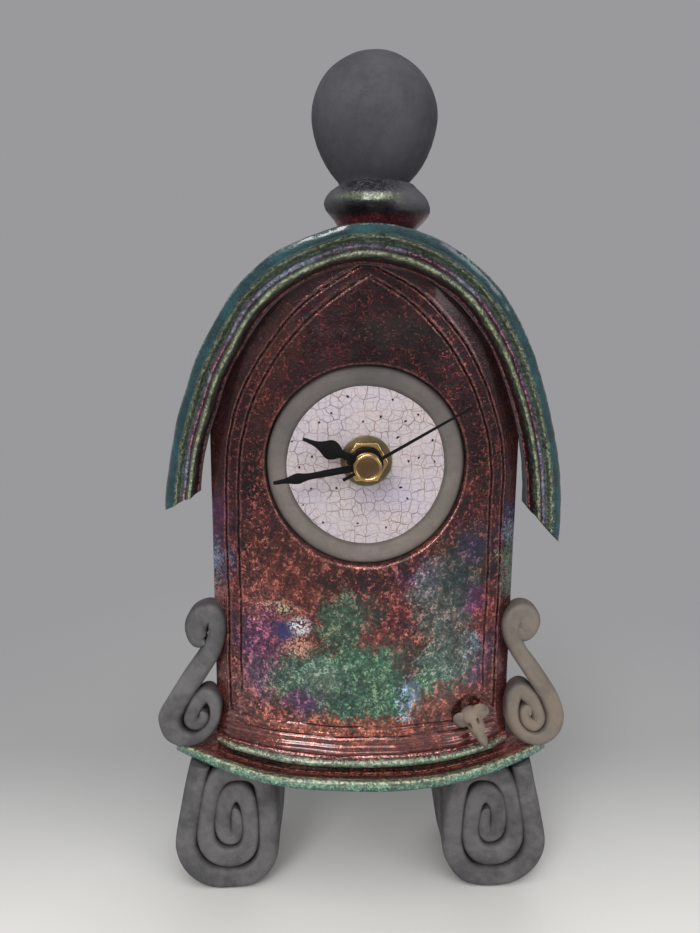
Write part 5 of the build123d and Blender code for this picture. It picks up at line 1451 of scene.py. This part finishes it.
class CLOCK_OT_finial(bpy.types.Operator):
    """Turn the ball and its collar on top of the roof"""

    bl_idname = "clock.finial"
    bl_label = "Finial"

    def execute(self, context):
        middle_x, middle_y = (COLLAR_LOW[:2] + COLLAR_HIGH[:2]) / 2
        widest = (COLLAR_HIGH[0] - COLLAR_LOW[0]) / 2
        low = ROOF_TOP - 3.0
        top = COLLAR_HIGH[2]
        rise = top - ROOF_TOP
        profile = [(0.0, low), (0.62 * widest, low)]
        profile += [(widest * r, ROOF_TOP + rise * h) for r, h in COLLAR_PROFILE]
        profile += [(0.4 * widest, top), (0.0, top)]
        collar = turned("lustred_collar", profile, (middle_x, middle_y, 0.0), "Z")
        points = points_of(collar) / MM
        tilt = Matrix.Rotation(math.radians(COLLAR_TILT), 3, "Y")
        pivot = np.array([middle_x, middle_y, ROOF_TOP + rise / 2])
        points = (points - pivot) @ np.array(tilt).T + pivot
        move_points(collar, hand_wobble(points, "finial_collar") * MM)
        settle(collar, "case", "gold_lustre_glaze", ["Collar lustre"], "finial_collar")

        centre = (BALL_LOW + BALL_HIGH) / 2
        radius = (BALL_HIGH[0] - BALL_LOW[0]) / 2
        centre[2] = BALL_HIGH[2] - radius - 0.6
        profile = [(r, top + h) for r, h in BALL_SEAT]
        turns = np.linspace(math.radians(-8), math.radians(90), 36)
        profile += [(max(radius * math.cos(t), 0.0), centre[2] + radius * math.sin(t)) for t in turns]
        ball = turned("smoked_ball", profile, (centre[0], centre[1], 0.0), "Z")
        points = hand_wobble(points_of(ball) / MM, "finial_ball")
        points[:, 2] = np.minimum(points[:, 2], BALL_HIGH[2])
        move_points(ball, points * MM)
        settle(ball, "case", "smoked_clay", ["Charcoal clay"], "finial_ball", angle=60.0)
        return {"FINISHED"}


def strip_rings(path, half, front, back, rounding):
    """Rings of a rounded strip along an upright path, and each point's place across the strip, -1 to 1."""
    heading = np.gradient(path, axis=0)
    heading /= np.linalg.norm(heading, axis=1, keepdims=True)
    side = np.stack([heading[:, 1], -heading[:, 0]], axis=1)
    radius = np.minimum(rounding, 0.92 * half)[:, None]
    half = half[:, None]
    corners = ((1, -1, -90), (1, 1, 0), (-1, 1, 90), (-1, -1, 180))
    depth = (back - front) / 2
    across, deep = [], []
    for hand, face, start in corners:
        for turn in np.radians(start + np.linspace(0, 90, 7)):
            across.append((half - radius) * hand + radius * math.cos(turn))
            deep.append((depth - radius) * face + radius * math.sin(turn))
        if face == -hand:
            for share in (0.5, 0.0, -0.5):
                across.append(half * hand)
                deep.append((depth - radius) * share * -hand)
    across = np.hstack(across)
    deep = np.hstack(deep)
    x = path[:, :1] + side[:, :1] * across
    z = path[:, 1:] + side[:, 1:] * across
    return np.stack([x, (front + back) / 2 + deep, z], axis=2), across / half


def rounded_ends(half, first, last):
    """Half thicknesses that taper to nothing over a number of steps at the ends that are rounded."""
    half = half.copy()
    for count, where in ((first, slice(None, first)), (last, slice(len(half) - last, None))):
        if count:
            share = np.linspace(0.02, 1, count) if where.start is None else np.linspace(1, 0.02, count)
            half[where] *= np.sqrt(1 - (1 - share) ** 2)
    return half


# A foot's strip: places across from the foot's middle and up from the floor, and half thicknesses.
FOOT_STRIP = (
    (-8.6, 48.4, 3.2), (-9.9, 42.5, 3.3), (-12.1, 31.5, 3.5), (-14.0, 21.5, 3.6), (-14.1, 15.5, 3.7),
    (-11.3, 9.0, 3.9), (-5.9, 4.8, 4.1), (1.1, 4.0, 4.0), (8.1, 5.2, 4.0), (12.7, 10.0, 3.7),
    (14.5, 16.5, 3.5), (14.6, 25.0, 3.4), (14.0, 34.0, 3.3), (12.7, 41.5, 3.4), (9.1, 45.6, 3.8),
    (3.7, 46.4, 3.9), (-1.3, 44.4, 3.5), (-4.3, 39.6, 3.0), (-6.1, 32.0, 2.9), (-7.3, 23.5, 3.0),
    (-6.5, 17.6, 3.4), (-3.3, 13.6, 4.0), (1.5, 12.8, 4.3), (5.9, 15.0, 3.8), (8.0, 20.0, 3.1),
    (8.2, 27.5, 3.0), (7.1, 34.4, 3.2), (4.1, 37.8, 3.7), (0.5, 36.0, 3.3), (-1.2, 30.5, 2.8),
    (-1.4, 25.0, 2.8), (-0.1, 21.4, 3.0), (2.3, 21.2, 2.7), (3.4, 24.6, 2.3), (3.3, 28.6, 2.0),
    (2.7, 32.2, 1.7),
)
FOOT_STEPS = 420
FOOT_FIRST_TURN = 0.46
FOOT_PLUMP = 0.26
FOOT_CORE_DEPTH = 0.5


class CLOCK_OT_feet(bpy.types.Operator):
    """Roll a clay strip into each foot"""

    bl_idname = "clock.feet"
    bl_label = "Feet"

    def execute(self, context):
        feet = ((-1, "left_rolled_foot", "left_foot"), (1, "right_rolled_foot", "right_foot"))
        for side, name, node in feet:
            low, high = box_mm(node)
            path = smooth_path(FOOT_STRIP, FOOT_STEPS)
            walked = np.linspace(0, 1, FOOT_STEPS)[:, None]
            half = rounded_ends(path[:, 2] + FOOT_PLUMP, 0, 10)
            rings, across = strip_rings(path[:, :2], half, low[1], high[1], sizes().strip_round / MM)
            rings[..., 1] += FOOT_CORE_DEPTH * smoothstep(0.90, 1.0, walked)
            # painted shade along the strip's sides, where one turn of the coil presses on the next
            inner = smoothstep(0.70, 1.0, -across) * (walked < 0.97)
            coiled = smoothstep(FOOT_FIRST_TURN, FOOT_FIRST_TURN + 0.04, walked)
            outer = smoothstep(0.70, 1.0, across) * coiled
            rings = hand_wobble(rings, node)
            rings[..., 0] = (low[0] + high[0]) / 2 - side * rings[..., 0]
            rings = np.clip(rings, low, high)
            piece = lofted(name, rings, {"seam": np.maximum(inner, outer)}, capped=True)
            settle(piece, "case", "bare_clay", ["Rolled clay"], node)
        return {"FINISHED"}


# Scrolls from the top curl to the core: places out from the wall and up from the base, and half thicknesses.
LEFT_SCROLL = (
    (3.0, 39.0, 2.6), (5.0, 40.2, 3.5), (6.0, 44.3, 3.9), (4.4, 48.4, 3.9), (0.9, 50.0, 3.6),
    (-1.2, 46.8, 3.1), (-1.0, 41.2, 3.1), (1.4, 35.4, 3.4), (4.8, 30.0, 3.5), (9.2, 23.4, 3.6),
    (13.2, 16.8, 3.7), (15.8, 11.0, 4.0), (14.9, 5.8, 3.8), (10.6, 3.3, 2.9), (5.4, 4.6, 2.2),
    (1.2, 9.6, 1.9), (0.4, 16.2, 2.4), (2.6, 20.3, 2.8), (5.3, 18.6, 2.6), (8.0, 14.0, 2.5),
    (8.8, 9.8, 2.6), (6.4, 8.9, 2.3), (4.4, 11.4, 1.9), (4.6, 14.4, 1.7),
)
RIGHT_SCROLL = (
    (0.6, 45.6, 2.4), (2.2, 43.4, 3.2), (4.6, 43.2, 3.7), (5.6, 46.0, 3.9), (4.4, 48.8, 3.9),
    (1.8, 49.6, 3.6), (-0.3, 46.8, 3.2), (0.0, 41.6, 3.0), (2.8, 36.4, 2.9), (6.2, 31.0, 2.9),
    (10.4, 24.4, 3.0), (14.4, 17.8, 3.2), (16.9, 11.6, 3.4), (15.7, 6.0, 3.3), (11.3, 3.3, 2.9),
    (5.8, 5.0, 2.6), (1.9, 10.6, 2.5), (1.1, 17.2, 2.8), (3.4, 21.8, 2.9), (6.9, 19.2, 2.7),
    (10.2, 14.0, 2.4), (11.4, 10.2, 2.4), (9.5, 8.3, 2.3), (6.7, 10.2, 2.1), (5.5, 14.0, 2.0),
    (6.5, 15.2, 1.7), (7.6, 12.8, 1.3),
)
SCROLL_STEPS = 360
SCROLL_SLACK = (4.0, 0.0, 0.0)
SCROLL_ROUND = 2.3
SCROLL_CURL_DEPTH = 0.7


class CLOCK_OT_scrolls(bpy.types.Operator):
    """Roll the clay scrolls that lean on the sides"""

    bl_idname = "clock.scrolls"
    bl_label = "Scrolls"

    def execute(self, context):
        scrolls = (
            (-1, LEFT_SCROLL, "left_rolled_scroll", "left_scroll", "Rolled clay"),
            (1, RIGHT_SCROLL, "right_rolled_scroll", "right_scroll", "Warm clay"),
        )
        for side, route, name, node, finish in scrolls:
            low, high = box_mm(node)
            path = smooth_path(route, SCROLL_STEPS)
            half = rounded_ends(path[:, 2], 16, 10)
            rings, across = strip_rings(path[:, :2], half, low[1], high[1], SCROLL_ROUND)
            walked = np.linspace(0, 1, SCROLL_STEPS)[:, None]
            rings[..., 1] += SCROLL_CURL_DEPTH * (1 - smoothstep(0.02, 0.13, walked))
            coil = smoothstep(0.34, 0.42, walked)
            curl = 1 - smoothstep(0.20, 0.30, walked)
            # painted shade along the strip's sides, where the turns of the scroll touch
            seam = smoothstep(0.6, 1.0, across) * coil * (walked < 0.86)
            seam += smoothstep(0.6, 1.0, -across) * smoothstep(0.66, 0.72, walked)
            seam += smoothstep(0.75, 1.0, across) * curl * 0.7
            rings = hand_wobble(rings, node)
            rings[..., 0] = side * (BODY_HALF_WIDTH + rings[..., 0])
            rings[..., 2] += low[2]
            rings = np.clip(rings, low - SCROLL_SLACK, high + SCROLL_SLACK)
            rings = np.clip(rings, CAD_LOW, CAD_HIGH)
            piece = lofted(name, rings, {"seam": np.clip(seam, 0, 1)}, capped=True)
            settle(piece, "case", "bare_clay", [finish], node)
        return {"FINISHED"}


# The mouse's lumps, from the middle of its hole: name, middle, half sizes and lean in degrees.
MOUSE_LUMPS = (
    ("skull", (1.1, -1.6, -0.9), (3.5, 4.0, 3.4), 0.0),
    ("cheek", (2.6, -3.6, -3.6), (2.9, 3.0, 3.9), -24.0),
    ("snout", (4.4, -5.4, -7.0), (1.7, 1.9, 3.6), -27.0),
    ("nose", (5.4, -6.2, -9.2), (0.9, 1.0, 1.9), -27.0),
    ("left_ear", (-2.3, -2.8, -2.0), (3.0, 1.2, 2.6), 30.0),
    ("right_ear", (4.1, -2.8, 1.4), (2.8, 1.2, 3.0), -15.0),
)
MOUSE_VOXEL = 0.22
MOUSE_EYES = ((0.3, -2.6), (2.9, -0.9))
EYE_LEAN = math.radians(20)
EYE_HALF = (0.45, 0.95)
EYE_DEPTH = 0.9


class CLOCK_OT_mouse(bpy.types.Operator):
    """Pinch the little mouse that looks out of its hole"""

    bl_idname = "clock.mouse"
    bl_label = "Mouse"

    def execute(self, context):
        x, z = MOUSE_HOLE
        skin = PANEL_FRONT + float(bow_drop(x))
        pieces = []
        for name, middle, half, lean in MOUSE_LUMPS:
            deselect_all()
            bpy.ops.mesh.primitive_uv_sphere_add(segments=40, ring_count=24, radius=1.0)
            lump = named("mouse_" + name)
            points = points_of(lump) * half
            if "ear" in name:
                points[:, 1] += 0.11 * (half[0] ** 2 - points[:, 0] ** 2 - 0.6 * points[:, 2] ** 2) / half[0]
            turn = np.array(Matrix.Rotation(math.radians(lean), 3, "Y"))
            move_points(lump, (points @ turn.T + np.add((x, skin, z), middle)) * MM)
            pieces.append(lump)
        pick(pieces[0])
        for lump in pieces[1:]:
            lump.select_set(True)
        bpy.ops.object.join()
        piece = named("clay_mouse")
        apply_modifier(piece, "REMESH", mode="VOXEL", voxel_size=MOUSE_VOXEL * MM)
        apply_modifier(piece, "SMOOTH", factor=0.5, iterations=6)
        points = points_of(piece) / MM
        seam = np.zeros(len(points))
        for beside, above in MOUSE_EYES:
            right = points[:, 0] - (x + beside)
            up = points[:, 2] - (z + above)
            across = right * math.cos(EYE_LEAN) + up * math.sin(EYE_LEAN)
            upright = up * math.cos(EYE_LEAN) - right * math.sin(EYE_LEAN)
            near = np.hypot(across / EYE_HALF[0], upright / EYE_HALF[1])
            pit = smoothstep(1.25, 0.6, near) * (points[:, 1] < skin - 2.0)
            points[:, 1] += EYE_DEPTH * pit
            # painted shade in the eye pits
            seam = np.maximum(seam, pit)
        move_points(piece, np.clip(hand_wobble(points, "mouse"), CAD_LOW, CAD_HIGH) * MM)
        paint_points(piece, "seam", seam)
        settle(piece, "case", "mouse_clay", ["Mouse clay"], "mouse", angle=70.0)
        return {"FINISHED"}


# The dial's profiles: places in from the outside or out from the inside, and behind the face.
RING_OUTER = ((0.0, 2.6), (0.25, 1.4), (0.7, 0.7), (1.4, 0.25), (2.4, 0.05), (3.6, 0.15), (4.8, 0.45))
RING_INNER = ((1.6, 0.95), (0.8, 1.1), (0.25, 1.45), (0.0, 2.1), (0.0, 3.0), (2.2, 3.1))
DISC_OUTER = ((0.5, 0.15), (0.1, 0.5), (0.0, 1.0))
DISC_BORE = 3.9


class CLOCK_OT_dial(bpy.types.Operator):
    """Turn the clay dial ring and the crackled disc, and bow them with the panel"""

    bl_idname = "clock.dial"
    bl_label = "Dial"

    def execute(self, context):
        outside = RING_HIGH[0]
        face = RING_LOW[1]
        back = RING_HIGH[1] - float(bow_drop(outside))
        inside = RING_INNER_RADIUS
        profile = [(outside, back)]
        profile += [(outside - inward, face + behind) for inward, behind in RING_OUTER]
        profile += [(inside + outward, face + behind) for outward, behind in RING_INNER]
        profile.append((profile[-1][0], back))
        ring = turned("clay_dial_ring", profile, (0.0, 0.0, DIAL_HEIGHT), "Y", 200)
        points = points_of(ring) / MM
        away = np.hypot(points[:, 0], points[:, 2] - DIAL_HEIGHT)
        # painted shade in the gaps at the ring's outer edge and next to the disc
        rim = smoothstep(outside - 0.9, outside - 0.2, away)
        lip = 0.85 * smoothstep(inside + 1.5, inside + 0.4, away)
        paint_points(ring, "seam", np.maximum(rim, lip))
        self.bow(ring, "dial_ring")
        settle(ring, "case", "ring_clay", ["Ring clay"], "dial_ring", angle=60.0)

        face = DISC_LOW[1]
        radius = DISC_HIGH[0]
        back = DISC_HIGH[1] - float(bow_drop(radius))
        profile = [(DISC_BORE, back), (DISC_BORE, face)]
        profile += [(r, face) for r in np.linspace(4.6, radius - 1.2, 22)]
        profile += [(radius - inward, face + behind) for inward, behind in DISC_OUTER]
        profile.append((radius, back))
        disc = turned("crackled_disc", profile, (0.0, 0.0, SHAFT_HEIGHT), "Y", 180)
        points = points_of(disc) / MM
        away = np.hypot(points[:, 0], points[:, 2] - SHAFT_HEIGHT)
        points[:, 2] += (DIAL_HEIGHT - SHAFT_HEIGHT) * smoothstep(5.0, radius - 2.0, away)
        move_points(disc, points * MM)
        self.bow(disc)
        settle(disc, "case", "crackle_white_glaze", ["Crackle glaze"], "dial_disc", angle=50.0)
        return {"FINISHED"}

    def bow(self, piece, wobble=None):
        """Bends a turned piece back with the bowed panel, with a hand wobble if one is named."""
        points = points_of(piece) / MM
        points[:, 1] += bow_drop(points[:, 0])
        if wobble:
            points = hand_wobble(points, wobble)
        move_points(piece, points * MM)


# The cap's profile: places in from its rim and behind its front.
CAP_LIP = ((0.0, 0.7), (0.12, 0.3), (0.4, 0.05), (0.65, 0.0), (0.9, 0.1), (1.1, 0.4), (1.4, 0.5))
CAP_DISH = 0.55
NEEDLE_SLIMMING = 0.4


class CLOCK_OT_fittings(bpy.types.Operator):
    """Ease the edges of the brass fittings and the hands"""

    bl_idname = "clock.fittings"
    bl_label = "Brass and Hands"

    def execute(self, context):
        fittings = (
            ("brass_washer", "brass_washer_disc", "Antique brass", "brass", "case", 0.18),
            ("hex_nut", "brass_hex_nut", "Bright brass", "brass", "case", 0.35),
            ("hour_hand", "black_hour_hand", "Black paint", "black_paint", "hour", 0.18),
            ("minute_hand", "black_minute_hand", "Black paint", "black_paint", "minute", 0.18),
            ("second_hand", "black_second_hand", "Black paint", "black_paint", "seconds", 0.1),
        )
        for node, name, finish, slot, body, ease in fittings:
            piece = packed_copy(node, name)
            edit_all(piece)
            bpy.ops.mesh.dissolve_limited(angle_limit=math.radians(1.0))
            bpy.ops.object.mode_set(mode="OBJECT")
            corners = {"limit_method": "ANGLE", "angle_limit": math.radians(40)}
            apply_modifier(piece, "BEVEL", width=ease * MM, segments=3, **corners)
            if node == "second_hand":
                self.slim(piece)
            settle(piece, body, slot, [finish], node, angle=30.0)
        dress("threaded_bushing", "Antique brass")
        self.cap()
        return {"FINISHED"}

    def slim(self, piece):
        """Draws the second hand's needle thinner towards its tip."""
        points = points_of(piece) / MM
        flat = points[:, [0, 2]] - (0.0, SHAFT_HEIGHT)
        away = np.linalg.norm(flat, axis=1)
        along = flat[away.argmax()] / away.max()
        off = flat @ (-along[1], along[0])
        thin = 1 - smoothstep(4.0, 6.0, away) * NEEDLE_SLIMMING * away / away.max()
        flat += np.outer(off * (thin - 1), (-along[1], along[0]))
        points[:, [0, 2]] = flat + (0.0, SHAFT_HEIGHT)
        move_points(piece, points * MM)

    def cap(self):
        """The polished cap on the second hand: a raised lip round a dished face."""
        low, high = box_mm("second_hand_cap")
        radius = (high[0] - low[0]) / 2
        front, back = low[1], high[1]
        middle = (low + high) / 2
        profile = [(0.0, back), (radius, back)]
        profile += [(radius - inward, front + behind) for inward, behind in CAP_LIP]
        profile.append((0.0, front + CAP_DISH))
        piece = turned("brass_cap", profile, (middle[0], 0.0, middle[2]), "Y", 96)
        for face in piece.data.polygons:
            spot = np.array(face.center) / MM - middle
            face.material_index = int(np.hypot(spot[0], spot[2]) < radius - 1.05 and spot[1] < 0)
        settle(piece, "seconds", "brass", ["Bright brass", "Dished brass"], "second_hand_cap", angle=35.0)


class CLOCK_OT_movement(bpy.types.Operator):
    """Finish the parts of the quartz movement behind the dial"""

    bl_idname = "clock.movement"
    bl_label = "Movement"

    finishes = {
        "Rubber": ("rubber_gasket",),
        "Black plastic": ("movement_front_case", "movement_rear_cover", "setting_knob"),
        "White plastic": (
            "hour_wheel", "centre_wheel", "minute_wheel", "third_wheel",
            "second_wheel", "fifth_wheel", "train_plate", "coil_bobbin",
        ),
        "Ferrite": ("rotor",),
        "Soft iron": ("stator",),
        "Wound wire": ("coil_winding",),
        "Board laminate": ("circuit_board",),
        "Crystal can": ("quartz_crystal",),
        "Cell sleeve": ("battery_cell",),
        "Spring steel": ("left_battery_contact", "right_battery_contact"),
    }

    def execute(self, context):
        for finish, nodes in self.finishes.items():
            for node in nodes:
                dress(node, finish)
        return {"FINISHED"}


def seen_rays(nodes):
    """1 for the rays that show the background: straight to the camera, mirrored or through glass."""
    rays = nodes.add("LightPath").outputs
    shown = nodes.larger(rays["Is Camera Ray"], rays["Is Glossy Ray"])
    return nodes.larger(shown, rays["Is Transmission Ray"])


# The camera, found from the photograph's perspective, in millimetres and degrees, with its lens in pixels.
IMAGE_HEIGHT = 933
LENS_PIXELS = 800.0
CAMERA_PLACE = (-10.75, -266.27, 205.81)
CAMERA_TURN = 1.3
CAMERA_TILT = 11.5
CAMERA_ROLL = 0.45
SENSOR = 36.0

# Soft lights: name, power property, size, place and target in metres, and whether the glaze mirrors it.
LAMPS = (
    ("overhead_light", "top_power", 0.7, (-0.08, -0.48, 0.95), (0.0, 0.0, 0.12), True),
    ("key_light", "key_power", 0.35, (-0.38, -0.9, 0.66), (0.0, 0.0, 0.14), True),
    ("fill_light", "fill_power", 0.5, (0.8, -0.7, 0.45), (0.0, 0.0, 0.13), True),
    ("back_light", "back_power", 1.0, (0.25, 1.0, 0.5), (0.0, 0.0, 0.14), False),
)
FLOOR_SIZE = 12.0
# Where the floor turns darker behind the clock, as painted shade where the light falls off, and the distance
# over which it fades out.
FLOOR_TURN = (-0.075, 0.10)
FLOOR_FADE = (0.16, 0.36)


class CLOCK_OT_stage(bpy.types.Operator):
    """Lay the floor and set the lights, background and camera"""

    bl_idname = "clock.stage"
    bl_label = "Stage"

    def execute(self, context):
        self.floor()
        self.world()
        for lamp in LAMPS:
            self.lamp(*lamp)
        self.camera()
        context.scene.view_settings.view_transform = "Standard"
        return {"FINISHED"}

    def floor(self):
        """A wide floor, pale near the clock and darker behind it with painted shade, that fades to the
        background.
        """
        deselect_all()
        bpy.ops.mesh.primitive_grid_add(x_subdivisions=8, y_subdivisions=8, size=FLOOR_SIZE)
        floor = named("pale_floor")
        made = bpy.data.materials.new("Pale floor")
        nodes = fresh_nodes(made)
        place = nodes.add("TexCoord").outputs["Object"]
        away = nodes.length(place)
        stage = bpy.context.scene.clock_stage
        depth = nodes.part(place, 1)
        depth = nodes.plus(depth, nodes.times(nodes.noise(place, 9.0, 3.0), 0.02))
        # painted shade: the floor darkens behind the clock
        colour = nodes.mix(nodes.between(depth, *FLOOR_TURN), opaque(stage.floor), opaque(stage.shaded_far_floor))
        finish = {"Base Color": colour, "Roughness": 0.75, "Specular IOR Level": 0.2}
        shader = nodes.add("BsdfPrincipled", finish)
        plain = nodes.add("Emission", {"Color": opaque(stage.backdrop)})
        fade = nodes.times(nodes.between(away, *FLOOR_FADE), seen_rays(nodes))
        both = nodes.add("MixShader", {0: fade, 1: shader.outputs["BSDF"], 2: plain.outputs[0]})
        nodes.add("OutputMaterial", {"Surface": both.outputs[0]})
        floor.data.materials.append(made)

    def world(self):
        """Even light all round; the camera sees the backdrop's colour."""
        stage = bpy.context.scene.clock_stage
        world = bpy.data.worlds.new("Soft room")
        nodes = fresh_nodes(world)
        light = nodes.add("Background", {"Color": WHITE, "Strength": stage.world_level})
        seen = nodes.add("Background", {"Color": opaque(stage.backdrop), "Strength": 1.0})
        both = nodes.add("MixShader", {0: seen_rays(nodes), 1: light.outputs[0], 2: seen.outputs[0]})
        nodes.add("OutputWorld", {"Surface": both.outputs[0]})
        bpy.context.scene.world = world

    def lamp(self, name, power, size, place, target, mirrored):
        """A square soft light that faces a target and may show in the glaze."""
        lamp = bpy.data.lights.new(name, "AREA")
        lamp.energy = getattr(bpy.context.scene.clock_stage, power)
        lamp.size = size
        holder = bpy.data.objects.new(name, lamp)
        bpy.context.scene.collection.objects.link(holder)
        holder.location = place
        holder.visible_glossy = mirrored
        aim = Vector(np.subtract(target, place))
        holder.rotation_euler = aim.to_track_quat("-Z", "Y").to_euler()

    def camera(self):
        """A camera at the photograph's viewing angle."""
        camera = bpy.data.cameras.new("photo_camera")
        camera.sensor_width = SENSOR
        camera.lens = LENS_PIXELS / IMAGE_HEIGHT * SENSOR
        holder = bpy.data.objects.new("photo_camera", camera)
        bpy.context.scene.collection.objects.link(holder)
        upright = Matrix.Rotation(math.radians(90 - CAMERA_TILT), 4, "X")
        turn = Matrix.Rotation(math.radians(-CAMERA_TURN), 4, "Z")
        roll = Matrix.Rotation(math.radians(CAMERA_ROLL), 4, "Z")
        place = Matrix.Translation([c * MM for c in CAMERA_PLACE])
        holder.matrix_world = place @ turn @ upright @ roll
        bpy.context.scene.camera = holder


class CLOCK_PT_panel(bpy.types.Panel):
    """Steps that make the clock, and its sizes and colours"""

    bl_idname = "CLOCK_PT_panel"
    bl_label = "Raku Clock"
    bl_space_type = "VIEW_3D"
    bl_region_type = "UI"
    bl_category = "Clock"

    def draw(self, context):
        for operator in OPERATORS:
            self.layout.operator(operator.bl_idname)
        for group in (context.scene.clock_sizes, context.scene.clock_glazes, context.scene.clock_stage):
            box = self.layout.box()
            for key in group.__annotations__:
                box.prop(group, key)


OPERATORS = (
    CLOCK_OT_front_panel,
    CLOCK_OT_walls,
    CLOCK_OT_base,
    CLOCK_OT_roof,
    CLOCK_OT_finial,
    CLOCK_OT_feet,
    CLOCK_OT_scrolls,
    CLOCK_OT_mouse,
    CLOCK_OT_dial,
    CLOCK_OT_fittings,
    CLOCK_OT_movement,
    CLOCK_OT_stage,
)
CLASSES = (ClockSizes, ClockGlazes, ClockStage, *OPERATORS, CLOCK_PT_panel)


def register():
    for kind in CLASSES:
        bpy.utils.register_class(kind)
    bpy.types.Scene.clock_sizes = PointerProperty(type=ClockSizes)
    bpy.types.Scene.clock_glazes = PointerProperty(type=ClockGlazes)
    bpy.types.Scene.clock_stage = PointerProperty(type=ClockStage)


def unregister():
    del bpy.types.Scene.clock_stage
    del bpy.types.Scene.clock_glazes
    del bpy.types.Scene.clock_sizes
    for kind in reversed(CLASSES):
        bpy.utils.unregister_class(kind)


def main():
    """Makes every piece and the stage."""
    register()
    for operator in OPERATORS:
        family, name = operator.bl_idname.split(".")
        getattr(getattr(bpy.ops, family), name)()
    deselect_all()


if __name__ == "__main__":
    main()
